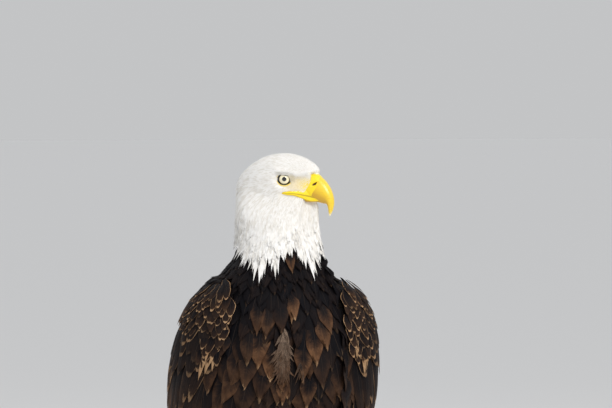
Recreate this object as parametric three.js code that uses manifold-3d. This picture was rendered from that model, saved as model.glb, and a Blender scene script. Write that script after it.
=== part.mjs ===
// A bald eagle (Haliaeetus leucocephalus), life size, standing still with folded wings
// and its head turned to its own left. Millimetres, +Z up. The trunk faces -Y and the
// bird's left side is +X. Everything below is the outline out to the tips of the feathers.
import * as THREE from 'three';
import Module from 'manifold-3d';
import { LoftGeometry } from 'three/addons/geometries/LoftGeometry.js';
import { mergeVertices } from 'three/addons/utils/BufferGeometryUtils.js';

const wasm = await Module();
wasm.setup();

// ---------------------------------------------------------------- driving dimensions
const GAP = 0.3; // clearance between neighbouring parts
const HEAD_TURN = THREE.MathUtils.degToRad(53); // head, about the neck, to the bird's left
const NECK_Y = -22; // the neck's upright axis
const HEAD_CUT_Z = 648; // head meets neck
const NECK_CUT_Z = 578; // neck meets trunk
const BODY_POWER = 2.3; // roundness of the level sections of the body, 2 is an ellipse
const WING_POWER = 2.35;
const EYE_RADIUS = 11;
const EYE = { forward: 14.4, aside: 17.8, z: 689.5 };
const EYE_LOOK = THREE.MathUtils.degToRad(65); // from straight ahead to the line of sight
const FOOT = { x: 57, y: 20 }; // where the tarsus meets the toes
const SOLE = { aside: 17, along: 18, high: 15, z: 7 }; // the pad under the shank
const TOE_RADIUS = 8.2;
const CLAW_RADIUS = 4.2;
const CLAW_ROOT_Z = 8;
const CLAW_RISE = 6;
const CLAW_DROP = 6.2;

// Neck and trunk at level heights: the widest line lies at y, the section reaches half to
// each side, front ahead and back behind; turn follows the head, egg narrows the throat.
const TORSO = [
  { z: 196, y: 134, half: 34, front: 24, back: 30 },
  { z: 214, y: 114, half: 56, front: 50, back: 58 },
  { z: 244, y: 86, half: 78, front: 80, back: 84 },
  { z: 284, y: 60, half: 95, front: 99, back: 98 },
  { z: 334, y: 34, half: 109, front: 109, back: 108 },
  { z: 384, y: 16, half: 117, front: 112, back: 107 },
  { z: 419, y: 6, half: 119, front: 112, back: 103 },
  { z: 454, y: -2, half: 117, front: 108, back: 97 },
  { z: 481, y: -7, half: 113, front: 102, back: 92 },
  { z: 507, y: -12, half: 107, front: 94, back: 86 },
  { z: 533, y: -16, half: 96, front: 84, back: 80 },
  { z: 559, y: -20, half: 83, front: 72, back: 73 },
  { z: 574, y: -22, half: 73, front: 65, back: 66 },
  { z: 588, y: -22, half: 63, front: 61, back: 60 },
  { z: 606, y: -22, half: 57, front: 59, back: 57, turn: 0.35 },
  { z: 625, y: -22, half: 51, front: 57, back: 56, turn: 0.75, egg: 0.1 },
  { z: 644, y: -22, half: 45, front: 55.5, back: 56, turn: 1, egg: 0.25 },
  { z: 664, y: -22, half: 36, front: 54, back: 55, turn: 1, egg: 0.42 },
  { z: 684, y: -22, half: 30, front: 48, back: 50, turn: 1, egg: 0.45 },
];

// The outside of a folded wing at level heights: the widest line lies at y, half reaches
// out to the side, back behind; the front edge is at (frontX, frontY), the back edge at
// backX on the bird's back; thick is the wing's thickness.
const WING = [
  { z: 30, y: 266, half: 39, back: 12, frontX: 34, frontY: 261, backX: 33, thick: 2 },
  { z: 59, y: 250, half: 47.5, back: 18, frontX: 44, frontY: 243, backX: 26, thick: 3 },
  { z: 84, y: 232, half: 56, back: 30, frontX: 53, frontY: 220, backX: 19, thick: 3 },
  { z: 134, y: 184, half: 72, back: 65, frontX: 67, frontY: 160, backX: 13, thick: 3.5 },
  { z: 184, y: 142, half: 88, back: 90, frontX: 81, frontY: 104, backX: 9, thick: 4 },
  { z: 234, y: 108, half: 104, back: 106, frontX: 94, frontY: 60, backX: 7, thick: 5 },
  { z: 284, y: 78, half: 117, back: 118, frontX: 102, frontY: 22, backX: 7, thick: 7 },
  { z: 334, y: 52, half: 127, back: 122, frontX: 105, frontY: -11, backX: 8, thick: 10 },
  { z: 384, y: 30, half: 134, back: 122, frontX: 100, frontY: -41, backX: 10, thick: 14 },
  { z: 434, y: 12, half: 137, back: 117, frontX: 90, frontY: -66, backX: 13, thick: 18 },
  { z: 481, y: -2, half: 133, back: 106, frontX: 80, frontY: -80, backX: 20, thick: 20 },
  { z: 507, y: -8, half: 127, back: 98, frontX: 76, frontY: -82, backX: 30, thick: 20 },
  { z: 533, y: -13, half: 116, back: 88, frontX: 74, frontY: -78, backX: 44, thick: 18 },
  { z: 552, y: -16, half: 101, back: 78, frontX: 75, frontY: -68, backX: 62, thick: 12 },
  { z: 566, y: -18, half: 87, back: 64, frontX: 79, frontY: -48, backX: 78, thick: 3 },
];

// The head from nape to forehead: half its width, its top and bottom, and the height of
// its widest line.
const HEAD = [
  { forward: -58.5, half: 8, top: 681, bottom: 656, wide: 669 },
  { forward: -54, half: 19, top: 692, bottom: 646, wide: 671 },
  { forward: -45, half: 28, top: 702.5, bottom: 636, wide: 676 },
  { forward: -30, half: 34, top: 713.5, bottom: 632, wide: 682 },
  { forward: -12, half: 37, top: 721.5, bottom: 632, wide: 686 },
  { forward: 6, half: 35.5, top: 724, bottom: 634, wide: 690 },
  { forward: 19, half: 30.5, top: 723, bottom: 638, wide: 692 },
  { forward: 31, half: 25.5, top: 720, bottom: 645, wide: 692 },
  { forward: 42, half: 19.5, top: 715.5, bottom: 654, wide: 690 },
  { forward: 50, half: 14, top: 710.5, bottom: 668, wide: 692 },
  { forward: 56, half: 8, top: 705.5, bottom: 686, wide: 696 },
];

// The upper bill in section, from the face round the hook to its tip: a section runs from
// the ridge (forward, z) to the cutting edge (edgeForward, edgeZ) and is half wide.
const BILL = [
  { forward: 40, z: 699.5, edgeForward: 40, edgeZ: 665.5, half: 15 },
  { forward: 48, z: 698.8, edgeForward: 47, edgeZ: 663.5, half: 13.6 },
  { forward: 55, z: 696.5, edgeForward: 54, edgeZ: 661.8, half: 12.2 },
  { forward: 61, z: 692.5, edgeForward: 60, edgeZ: 660.2, half: 11 },
  { forward: 67, z: 686.8, edgeForward: 64.5, edgeZ: 659.2, half: 9.8 },
  { forward: 72, z: 679.5, edgeForward: 67.5, edgeZ: 658.2, half: 8.4 },
  { forward: 75.6, z: 671, edgeForward: 69.3, edgeZ: 656.4, half: 7 },
  { forward: 77.4, z: 662, edgeForward: 70, edgeZ: 652.6, half: 5.4 },
  { forward: 76.3, z: 653, edgeForward: 70.2, edgeZ: 648.6, half: 3.8 },
  { forward: 73.8, z: 646, edgeForward: 70.4, edgeZ: 644.6, half: 2.2 },
  { forward: 71.6, z: 641.8, edgeForward: 70.8, edgeZ: 642, half: 0.7 },
];

// The lower bill, inside the chin feathers at its root and under the upper bill ahead.
const MANDIBLE = [
  { forward: 22, half: 12, z: 662, high: 6.5 },
  { forward: 36, half: 11, z: 662, high: 6 },
  { forward: 50, half: 9.4, z: 661.5, high: 5.2 },
  { forward: 60, half: 7.2, z: 661, high: 4 },
  { forward: 66, half: 4, z: 660, high: 2.2 },
];

// The yellow flange along the mouth, from its corner under the eye to the cere.
const GAPE = [
  { forward: 15.5, aside: 27.8, z: 670.8, thick: 1.4, high: 1.2 },
  { forward: 20, aside: 26.6, z: 670.6, thick: 2.6, high: 2.8 },
  { forward: 31, aside: 22.2, z: 669.6, thick: 2.6, high: 3.4 },
  { forward: 43, aside: 15, z: 668.2, thick: 2.8, high: 4.2 },
  { forward: 50, aside: 11, z: 667.4, thick: 2.4, high: 4.4 },
];

// The tail, from its root in the rump to its tip: distance along it, half its width, and
// the depth above and below its middle plane.
const TAIL_ROOT = { y: 122, z: 252 };
const TAIL_SLOPE = new THREE.Vector2(0.51, -0.86).normalize();
const TAIL = [
  { along: 0, half: 30, above: 15, below: 16 },
  { along: 45, half: 38, above: 15, below: 17 },
  { along: 95, half: 42, above: 11, below: 13 },
  { along: 150, half: 44, above: 7, below: 8 },
  { along: 210, half: 47, above: 4.6, below: 4.6 },
  { along: 255, half: 48, above: 3.4, below: 3.4 },
  { along: 275, half: 42, above: 2.6, below: 2.6 },
  { along: 286, half: 27, above: 2, below: 2 },
];

// The feathered leg at level heights: its centre and its reach aside and fore and aft.
const THIGH = [
  { z: 72, x: 56, y: 32, aside: 13, along: 16 },
  { z: 88, x: 56, y: 33, aside: 19, along: 23 },
  { z: 120, x: 57, y: 30, aside: 27, along: 34 },
  { z: 160, x: 59, y: 20, aside: 34, along: 46 },
  { z: 205, x: 61, y: 9, aside: 40, along: 56 },
  { z: 250, x: 63, y: 2, aside: 43, along: 62 },
  { z: 290, x: 63, y: 0, aside: 42, along: 64 },
  { z: 325, x: 60, y: 0, aside: 36, along: 58 },
];

// The bare shank from inside the feathers of the ankle down to the foot.
const TARSUS = [
  { x: 56, y: 34, z: 104, radius: 9.8 },
  { x: 56.3, y: 30, z: 76, radius: 10.2 },
  { x: 56.6, y: 26, z: 50, radius: 10.8 },
  { x: 57, y: 22, z: 26, radius: 12.4 },
  { x: 57, y: 20, z: 10, radius: 13 },
];

// Toes: bearing from straight ahead towards the outside, length without the claw, and the
// claw's length. Digit 1 is the hind toe.
const TOES = [
  { digit: 1, bearing: 188, length: 38, claw: 42 },
  { digit: 2, bearing: -28, length: 52, claw: 38 },
  { digit: 3, bearing: 6, length: 68, claw: 32 },
  { digit: 4, bearing: 42, length: 55, claw: 27 },
];

// ---------------------------------------------------------------- shape functions
/** Evenly spaced rows between the stations, each value on a Catmull-Rom curve. */
function refine(stations, steps) {
  const rows = [];
  const keys = Object.keys(stations[0]);
  for (const row of stations) {
    for (const key of Object.keys(row)) {
      if (!keys.includes(key)) keys.push(key);
    }
  }
  const at = (index, key) => stations[Math.min(Math.max(index, 0), stations.length - 1)][key] ?? 0;
  for (let i = 0; i < stations.length - 1; i++) {
    for (let step = 0; step < steps; step++) {
      const t = step / steps;
      const row = {};
      for (const key of keys) {
        const [a, b, c, d] = [-1, 0, 1, 2].map((k) => at(i + k, key));
        row[key] = b + 0.5 * t * (c - a + t * (2 * a - 5 * b + 4 * c - d + t * (3 * (b - c) + d - a)));
      }
      rows.push(row);
    }
  }
  rows.push(Object.fromEntries(keys.map((key) => [key, at(stations.length - 1, key)])));
  return rows;
}

const signedPower = (value, power) => Math.sign(value) * Math.abs(value) ** power;

/** A manifold solid from a closed geometry. */
function solidOf(geometry) {
  const plain = new THREE.BufferGeometry().copy(geometry);
  plain.deleteAttribute('normal');
  plain.deleteAttribute('uv');
  const merged = mergeVertices(plain, 1e-4);
  const mesh = new wasm.Mesh({
    numProp: 3,
    vertProperties: new Float32Array(merged.attributes.position.array),
    triVerts: new Uint32Array(merged.index.array),
  });
  return new wasm.Manifold(mesh);
}

/** The centre of a ring of points. */
function middle(ring) {
  return ring.reduce((sum, point) => sum.add(point), new THREE.Vector3()).divideScalar(ring.length);
}

/** A closed solid through rings of points, which are turned to run the right way round. */
function loft(rings) {
  const centre = middle(rings[0]);
  const ahead = middle(rings[1]).sub(centre);
  const facing = new THREE.Vector3();
  rings[0].forEach((point, i) => {
    const next = rings[0][(i + 1) % rings[0].length];
    facing.add(point.clone().sub(centre).cross(next.clone().sub(centre)));
  });
  if (facing.dot(ahead) < 0) rings.forEach((ring) => ring.reverse());
  return solidOf(new LoftGeometry(rings, { capStart: true, capEnd: true }));
}

/** The solid of a geometry placed by a matrix. */
function placed(geometry, matrix) {
  return solidOf(geometry.applyMatrix4(matrix));
}

const HEAD_PLACE = new THREE.Matrix4()
  .makeTranslation(0, NECK_Y, 0)
  .multiply(new THREE.Matrix4().makeRotationZ(HEAD_TURN));

/** A point of the head from its distance ahead of the neck's axis, to the left and up. */
function headPoint(forward, left, z) {
  return new THREE.Vector3(left, -forward, z).applyMatrix4(HEAD_PLACE);
}

/** Level section of the neck or trunk, grown outwards by grow. */
function torsoRing(row, grow, sides = 24) {
  const angle = HEAD_TURN * row.turn;
  return Array.from({ length: sides }, (_, i) => {
    const a = (i / sides) * Math.PI * 2;
    const depth = (Math.cos(a) > 0 ? row.front : row.back) + grow;
    const ahead = depth * signedPower(Math.cos(a), 2 / BODY_POWER);
    const narrow = 1 - row.egg * (ahead / depth);
    const aside = (row.half + grow) * narrow * signedPower(Math.sin(a), 2 / BODY_POWER);
    const point = new THREE.Vector3(aside, -ahead, 0);
    point.applyAxisAngle(new THREE.Vector3(0, 0, 1), angle);
    return point.add(new THREE.Vector3(0, row.y, row.z));
  });
}

/** Upright section across the head. */
function headRing(row, sides = 20) {
  return Array.from({ length: sides }, (_, i) => {
    const a = (i / sides) * Math.PI * 2;
    const reach = Math.sin(a) > 0 ? row.top - row.wide : row.wide - row.bottom;
    const left = row.half * signedPower(Math.cos(a), 2 / 2.25);
    return headPoint(row.forward, left, row.wide + reach * signedPower(Math.sin(a), 2 / 2.25));
  });
}

/** Section of the upper bill, widest 0.4 of the way up from its cutting edge. */
function billRing(row, grow, sides = 12) {
  const ridge = new THREE.Vector2(row.forward, row.z);
  const edge = new THREE.Vector2(row.edgeForward, row.edgeZ);
  const up = ridge.clone().sub(edge);
  const length = up.length();
  up.normalize();
  return Array.from({ length: sides }, (_, i) => {
    const a = (i / sides) * Math.PI * 2;
    const reach = (Math.sin(a) > 0 ? 0.6 : 0.4) * length + grow;
    const rise = 0.4 * length + reach * signedPower(Math.sin(a), 0.95);
    const left = (row.half + grow) * signedPower(Math.cos(a), 0.9);
    return headPoint(edge.x + up.x * rise, left, edge.y + up.y * rise);
  });
}

/** Oval upright section at a place in the head. */
function ovalRing(forward, left, z, half, high, sides = 12) {
  return Array.from({ length: sides }, (_, i) => {
    const a = (i / sides) * Math.PI * 2;
    return headPoint(forward, left + half * Math.cos(a), z + high * Math.sin(a));
  });
}

/** Closed level section of a folded wing: out along its face and back along its lining. */
function wingRing(row, side, grow, points = 9) {
  const p = WING_POWER;
  const within = (x) => (1 - (x / row.half) ** p) ** (1 / p);
  const front = (row.y - row.frontY) / within(row.frontX);
  const startAngle = -Math.acos((row.frontX / row.half) ** (p / 2));
  const endAngle = Math.acos((row.backX / row.half) ** (p / 2));
  const face = (t) => {
    const a = startAngle + (endAngle - startAngle) * t;
    const depth = a < 0 ? front : row.back;
    return new THREE.Vector2(
      row.half * signedPower(Math.cos(a), 2 / p),
      row.y + depth * signedPower(Math.sin(a), 2 / p),
    );
  };
  const outer = [];
  const inner = [];
  for (let i = 0; i < points; i++) {
    const t = i / (points - 1);
    const along = face(Math.min(t + 0.01, 1)).sub(face(Math.max(t - 0.01, 0))).normalize();
    const out = new THREE.Vector2(along.y, -along.x);
    const edge = Math.sqrt(Math.min(1, Math.min(t, 1 - t) / 0.16 + 0.02));
    const depth = Math.max(row.thick * edge, 1);
    const end = along.clone().multiplyScalar(grow * (t === 0 ? -1 : Number(t === 1)));
    outer.push(face(t).addScaledVector(out, grow).add(end));
    inner.push(face(t).addScaledVector(out, -depth - grow).add(end));
  }
  return [...outer, ...inner.reverse()].map((q) => new THREE.Vector3(side * q.x, q.y, row.z));
}

/** Section across the tail. */
function tailRing(row, grow, sides = 14) {
  const y = TAIL_ROOT.y + TAIL_SLOPE.x * row.along;
  const z = TAIL_ROOT.z + TAIL_SLOPE.y * row.along;
  return Array.from({ length: sides }, (_, i) => {
    const a = (i / sides) * Math.PI * 2;
    const reach = (Math.sin(a) > 0 ? row.above : row.below) + grow;
    const rise = reach * signedPower(Math.sin(a), 0.85);
    const x = (row.half + grow) * signedPower(Math.cos(a), 0.85);
    return new THREE.Vector3(x, y - TAIL_SLOPE.y * rise, z + TAIL_SLOPE.x * rise);
  });
}

/** Level oval section of a leg. */
function legRing(x, y, z, aside, along, sides = 14) {
  return Array.from({ length: sides }, (_, i) => {
    const a = (i / sides) * Math.PI * 2;
    return new THREE.Vector3(x + aside * Math.cos(a), y + along * Math.sin(a), z);
  });
}

/** A round bar through points, each with its radius. */
function bar(points, radii, sides) {
  const rings = points.map((point, i) => {
    const ahead = points[Math.min(i + 1, points.length - 1)].clone();
    ahead.sub(points[Math.max(i - 1, 0)]).normalize();
    const aside = new THREE.Vector3(ahead.y, -ahead.x, 0).normalize();
    const up = new THREE.Vector3().crossVectors(aside, ahead);
    return Array.from({ length: sides }, (_, k) => {
      const a = (k / sides) * Math.PI * 2;
      const reach = aside.clone().multiplyScalar(radii[i] * Math.cos(a));
      return reach.addScaledVector(up, radii[i] * Math.sin(a)).add(point);
    });
  });
  return loft(rings);
}

/** The half space above or below a level, as a large block. */
function blockFrom(zLow, zHigh) {
  const block = new THREE.BoxGeometry(1200, 1200, zHigh - zLow);
  return placed(block, new THREE.Matrix4().makeTranslation(0, 0, (zLow + zHigh) / 2));
}

/** A point of a foot, so far out along a toe and so high. */
function toePoint(side, toe, along, z) {
  const bearing = THREE.MathUtils.degToRad(toe.bearing);
  const x = side * (FOOT.x + Math.sin(bearing) * along);
  return new THREE.Vector3(x, FOOT.y - Math.cos(bearing) * along, z);
}

/** A toe: a row of joints, swollen at their pads, that thins towards the claw. */
function toeSolid(side, toe, grow) {
  const steps = 5;
  const points = [];
  const radii = [];
  for (let i = 0; i <= steps; i++) {
    const t = i / steps;
    const radius = TOE_RADIUS * (1 - 0.16 * t) * (1 + 0.06 * Math.cos(t * Math.PI * 5));
    points.push(toePoint(side, toe, 6 + t * (toe.length - 6), radius * 0.84));
    radii.push(radius + grow);
  }
  const tip = toePoint(side, toe, toe.length + 4, TOE_RADIUS * 0.8);
  return bar([...points, tip], [...radii, TOE_RADIUS * 0.45 + grow], 8);
}

/** A claw: a tapering hook whose tip comes down to just above the floor. */
function clawSolid(side, toe, grow) {
  const steps = 5;
  const points = [];
  const radii = [];
  for (let i = 0; i <= steps; i++) {
    const t = i / steps;
    const arch = CLAW_RISE * Math.sin(Math.PI * Math.min(t * 1.12, 1)) - CLAW_DROP * t ** 2.2;
    points.push(toePoint(side, toe, toe.length - 3 + toe.claw * 0.86 * t, CLAW_ROOT_Z + arch));
    radii.push(CLAW_RADIUS * (1 - t) ** 0.75 + 0.55 + grow);
  }
  return bar(points, radii, 6);
}

// ---------------------------------------------------------------- parts
const FLOOR = 0;
const HIGH = 1000;
const aboveFloor = blockFrom(FLOOR, HIGH);
const solids = {};

/** Upper bill with its cere, the soft yellow skin at its root. */
function billSolid(grow) {
  return loft(refine(BILL, 1).map((row) => billRing(row, grow)));
}

function mandibleSolid(grow) {
  return loft(refine(MANDIBLE, 1).map((row) =>
    ovalRing(row.forward, 0, row.z, row.half + grow, row.high + grow, 10)));
}

function gapeSolid(side, grow) {
  return loft(refine(GAPE, 1).map((row) =>
    ovalRing(row.forward, side * row.aside, row.z, row.thick + grow, row.high + grow, 8)));
}

/** An eyeball, which shows through the opening of the lids. */
function eyeSolid(side, grow) {
  const centre = headPoint(EYE.forward, side * EYE.aside, EYE.z);
  const ball = new THREE.SphereGeometry(EYE_RADIUS + grow, 12, 7);
  return placed(ball, new THREE.Matrix4().makeTranslation(centre.x, centre.y, centre.z));
}

/** The opening of the lids: a flat oval dish along the line of sight. */
function lidOpening(side) {
  const look = new THREE.Vector3(side * Math.sin(EYE_LOOK), -Math.cos(EYE_LOOK), 0);
  const place = headPoint(
    EYE.forward + Math.cos(EYE_LOOK) * (EYE_RADIUS + 1),
    side * (EYE.aside + Math.sin(EYE_LOOK) * (EYE_RADIUS + 1)),
    EYE.z,
  );
  look.transformDirection(HEAD_PLACE);
  const turn = new THREE.Quaternion().setFromUnitVectors(new THREE.Vector3(0, 1, 0), look);
  const dish = new THREE.SphereGeometry(1, 10, 6).scale(8.4, 4.5, 6.6);
  return placed(dish, new THREE.Matrix4().compose(place, turn, new THREE.Vector3(1, 1, 1)));
}

/** The bony ridge over an eye, sloping down towards the bill. */
function browSolid(side) {
  const rows = [
    { forward: -8, aside: 31, z: 700, radius: 3 },
    { forward: 6, aside: 28.5, z: 700.5, radius: 6.4 },
    { forward: 20, aside: 24.6, z: 698.5, radius: 6.8 },
    { forward: 33, aside: 18.6, z: 695.5, radius: 5.8 },
    { forward: 42, aside: 13, z: 694, radius: 3.4 },
  ];
  const points = rows.map((row) => headPoint(row.forward, side * row.aside, row.z));
  return bar(points, rows.map((row) => row.radius), 8);
}

const torso = loft(refine(TORSO, 1).map((row) => torsoRing(row, 0)));
let flesh = loft(refine(HEAD, 1).map((row) => headRing(row))).add(torso);
for (const side of [-1, 1]) {
  flesh = flesh.add(browSolid(side));
}
let skull = flesh;
for (const side of [-1, 1]) {
  skull = skull.subtract(eyeSolid(side, GAP)).subtract(lidOpening(side));
}
skull = skull.subtract(billSolid(GAP)).subtract(mandibleSolid(GAP));
for (const side of [-1, 1]) {
  skull = skull.subtract(gapeSolid(side, GAP));
}
solids.head = skull.intersect(blockFrom(HEAD_CUT_Z + GAP, HIGH));
solids.neck = skull.intersect(blockFrom(NECK_CUT_Z + GAP, HEAD_CUT_Z));

// Bill: the slanting front edge of the cere parts it from the horn.
const cereFront = headPoint(58, 0, 698);
const cereTurn = new THREE.Matrix4().makeRotationX(THREE.MathUtils.degToRad(-11));
const cereBlock = new THREE.Matrix4()
  .makeTranslation(cereFront.x, cereFront.y, cereFront.z)
  .multiply(new THREE.Matrix4().makeRotationZ(HEAD_TURN))
  .multiply(cereTurn);
const cereSide = placed(new THREE.BoxGeometry(80, 80, 160).translate(0, 40 + GAP / 2, 0), cereBlock);
const hornSide = placed(new THREE.BoxGeometry(80, 80, 160).translate(0, -40 - GAP / 2, 0), cereBlock);
let cere = billSolid(0).intersect(cereSide);
for (const side of [-1, 1]) {
  cere = cere.add(gapeSolid(side, 0));
}
solids.cere = cere;
solids.bill_upper = billSolid(0).intersect(hornSide);
solids.bill_lower = mandibleSolid(0).subtract(billSolid(GAP));
for (const side of [-1, 1]) {
  solids.bill_lower = solids.bill_lower.subtract(gapeSolid(side, GAP));
}

const SIDES = { left: 1, right: -1 };
const torsoInside = loft(refine(TORSO, 1).map((row) => torsoRing(row, GAP)));
let trunk = torso.intersect(blockFrom(FLOOR, NECK_CUT_Z));
const tail = loft(refine(TAIL, 1).map((row) => tailRing(row, 0)));
solids.tail = tail;
trunk = trunk.subtract(loft(refine(TAIL, 1).map((row) => tailRing(row, GAP))));

// Where a folded wing is parted: its wrist and coverts, the secondaries and tertials that
// lie over each other behind them, and the tips of the primaries below.
const WING_CUTS = [
  { name: 'coverts', through: [0, 404], slope: 14 },
  { name: 'secondaries', through: [170, 199], slope: 8 },
  { name: 'primaries' },
];

function slantedBlock(through, slope, shift, height) {
  const place = new THREE.Matrix4()
    .makeTranslation(0, through[0], through[1] + shift)
    .multiply(new THREE.Matrix4().makeRotationX(THREE.MathUtils.degToRad(slope)));
  return placed(new THREE.BoxGeometry(900, 1400, height).translate(0, 0, height / 2), place);
}

for (const [name, side] of Object.entries(SIDES)) {
  const rows = refine(WING, 1);
  let rest = loft(rows.map((row) => wingRing(row, side, 0)));
  const wingRoom = loft(rows.map((row) => wingRing(row, side, GAP)));
  trunk = trunk.subtract(wingRoom);
  for (const cut of WING_CUTS) {
    if (!cut.through) {
      solids[`wing_${name}_${cut.name}`] = rest;
      continue;
    }
    solids[`wing_${name}_${cut.name}`] = rest.intersect(slantedBlock(cut.through, cut.slope, GAP, 900));
    rest = rest.subtract(slantedBlock(cut.through, cut.slope, 0, 900));
  }

  // Legs: feathered above, bare and scaly from the ankle down.
  const legs = (grow) => loft(refine(THIGH, 1).map((row) =>
    legRing(side * row.x, row.y, row.z, row.aside + grow, row.along + grow)));
  const shank = (grow) => bar(
    TARSUS.map((row) => new THREE.Vector3(side * row.x, row.y, row.z)),
    TARSUS.map((row) => row.radius + grow),
    10,
  );
  solids[`thigh_${name}`] = legs(0).subtract(torsoInside).subtract(shank(GAP)).subtract(wingRoom);
  const sole = (grow) => {
    const ball = new THREE.SphereGeometry(1, 10, 6);
    ball.scale(SOLE.aside + grow, SOLE.along + grow, SOLE.high + grow);
    return placed(ball, new THREE.Matrix4().makeTranslation(side * FOOT.x, FOOT.y, SOLE.z));
  };
  solids[`tarsus_${name}`] = shank(0).add(sole(0)).intersect(aboveFloor);
  let taken = shank(GAP).add(sole(GAP));
  for (const toe of TOES) {
    solids[`claw_${name}_${toe.digit}`] = clawSolid(side, toe, 0);
    solids[`toe_${name}_${toe.digit}`] = toeSolid(side, toe, 0)
      .subtract(taken)
      .subtract(clawSolid(side, toe, GAP))
      .intersect(aboveFloor);
    taken = taken.add(toeSolid(side, toe, GAP));
  }
}

solids.trunk = trunk;
solids.eye_left = eyeSolid(1, 0);
solids.eye_right = eyeSolid(-1, 0);

// ---------------------------------------------------------------- the model
// Colour and roughness of each kind of surface, by the start of a part's name.
const FINISHES = {
  head: { color: 0xf0eee6, roughness: 0.85 },
  neck: { color: 0xf0eee6, roughness: 0.85 },
  tail: { color: 0xefece2, roughness: 0.8 },
  trunk: { color: 0x2a211c, roughness: 0.8 },
  wing: { color: 0x33271f, roughness: 0.75 },
  thigh: { color: 0x2a211c, roughness: 0.85 },
  cere: { color: 0xf2c81e, roughness: 0.5 },
  bill: { color: 0xe9b625, roughness: 0.35 },
  eye: { color: 0xe9dfb8, roughness: 0.08 },
  tarsus: { color: 0xe0b42c, roughness: 0.6 },
  toe: { color: 0xe0b42c, roughness: 0.6 },
  claw: { color: 0x17130f, roughness: 0.3 },
};

/** The mesh of a solid, in the finish of its kind. */
function meshOf(name, solid) {
  const { vertProperties, triVerts } = solid.getMesh();
  const geometry = new THREE.BufferGeometry();
  geometry.setAttribute('position', new THREE.BufferAttribute(new Float32Array(vertProperties), 3));
  geometry.setIndex(new THREE.BufferAttribute(new Uint32Array(triVerts), 1));
  geometry.computeVertexNormals();
  const finish = FINISHES[name.split('_')[0]];
  const mesh = new THREE.Mesh(geometry, new THREE.MeshStandardMaterial({ ...finish, metalness: 0 }));
  mesh.name = name;
  return mesh;
}

const eagle = new THREE.Group();
for (const [name, solid] of Object.entries(solids)) {
  eagle.add(meshOf(name, solid));
}

// The origin is on the floor, under the middle of the bird's box.
const box = new THREE.Box3().setFromObject(eagle);
const centre = box.getCenter(new THREE.Vector3());
eagle.position.set(-centre.x, -centre.y, -box.min.z);

export default eagle;
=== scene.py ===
import math

import bmesh
import bpy
import numpy as np
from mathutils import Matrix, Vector


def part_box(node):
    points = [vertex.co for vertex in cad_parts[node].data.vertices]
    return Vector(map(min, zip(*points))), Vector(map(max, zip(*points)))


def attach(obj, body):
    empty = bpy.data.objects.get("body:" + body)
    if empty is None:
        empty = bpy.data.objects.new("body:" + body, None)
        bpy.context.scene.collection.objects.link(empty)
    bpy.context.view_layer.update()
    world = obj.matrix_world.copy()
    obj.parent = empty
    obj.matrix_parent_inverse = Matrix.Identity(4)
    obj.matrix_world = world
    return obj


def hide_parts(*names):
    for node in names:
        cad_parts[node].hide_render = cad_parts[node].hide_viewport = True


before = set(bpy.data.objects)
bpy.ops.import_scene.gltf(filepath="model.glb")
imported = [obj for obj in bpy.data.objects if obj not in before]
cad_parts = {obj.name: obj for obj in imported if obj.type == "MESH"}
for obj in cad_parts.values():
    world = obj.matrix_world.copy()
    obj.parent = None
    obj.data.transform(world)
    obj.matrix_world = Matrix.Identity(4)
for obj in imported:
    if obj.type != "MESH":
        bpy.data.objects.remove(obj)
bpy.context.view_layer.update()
scene = bpy.context.scene
MM = 0.001

# ---------------------------------------------------------------- where things are
# The solids were drawn about an upright axis through the bird's shoulders, and the eyes
# tell how the head is turned on the neck. Lengths below are millimetres from that axis.
eye_boxes = [np.array(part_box(f"eye_{side}")).mean(axis=0) for side in ("left", "right")]
head_left = (eye_boxes[0] - eye_boxes[1]) * [1, 1, 0]
head_left /= np.linalg.norm(head_left)
head_ahead = np.array([head_left[1], -head_left[0], 0.0])
EYE_AHEAD = 14.4  # the eyes' centres lie this far in front of the neck's axis
NECK_Y = -22.0  # the neck's axis in the bird's own frame
eyes_middle = (eye_boxes[0] + eye_boxes[1]) / 2
neck_axis = eyes_middle / MM - head_ahead * EYE_AHEAD
SHIFT = np.array([0.0, neck_axis[1] - NECK_Y, 0.0])  # from the bird's own frame to the world
EYE_HEIGHT = eyes_middle[2] / MM + 1.5  # the ball stands a little high in its socket


def head_point(ahead, left, up):
    """Place in the bird's own frame of a point given by its distance ahead of the neck's
    axis, to the head's left and above the floor: axis + ahead * A + left * L + up * Z."""
    ahead, left, up = np.broadcast_arrays(ahead, left, up)
    place = ahead[..., None] * head_ahead + left[..., None] * head_left
    return place + np.stack([0 * up, NECK_Y + 0 * up, up], axis=-1)


# ---------------------------------------------------------------- floor, lights, camera
# A plain pale floor under soft studio light: a large key above and to the right, a wide
# fill on the left and a rim behind. The camera looks at the neck from a little above, far off.
PALE = (0.76, 0.755, 0.745)
SKY = (0.90, 0.915, 0.94)
SKY_CLEAR = 0.4  # sine of the angle above the horizon from which the sky has its own colour


def put(tree, kind, inputs=None, **settings):
    """Adds a node with its settings; its inputs are values or the sockets that feed them."""
    made = tree.nodes.new(kind)
    for key, value in settings.items():
        setattr(made, key, value)
    for key, value in (inputs or {}).items():
        if isinstance(value, bpy.types.NodeSocket):
            tree.links.new(value, made.inputs[key])
        else:
            made.inputs[key].default_value = value
    return made


def blend(tree, share, a, b):
    """Colour a turning into colour b as the share goes from 0 to 1."""
    inputs = {0: share, 6: (*a, 1) if isinstance(a, tuple) else a}
    inputs[7] = (*b, 1) if isinstance(b, tuple) else b
    return put(tree, "ShaderNodeMix", inputs, data_type="RGBA").outputs[2]


def between(tree, value, low, high):
    """Smooth mask that goes from 0 at low to 1 at high."""
    inputs = {"Value": value, "From Min": low, "From Max": high}
    made = put(tree, "ShaderNodeMapRange", inputs, interpolation_type="SMOOTHSTEP")
    return made.outputs["Result"]


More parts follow.
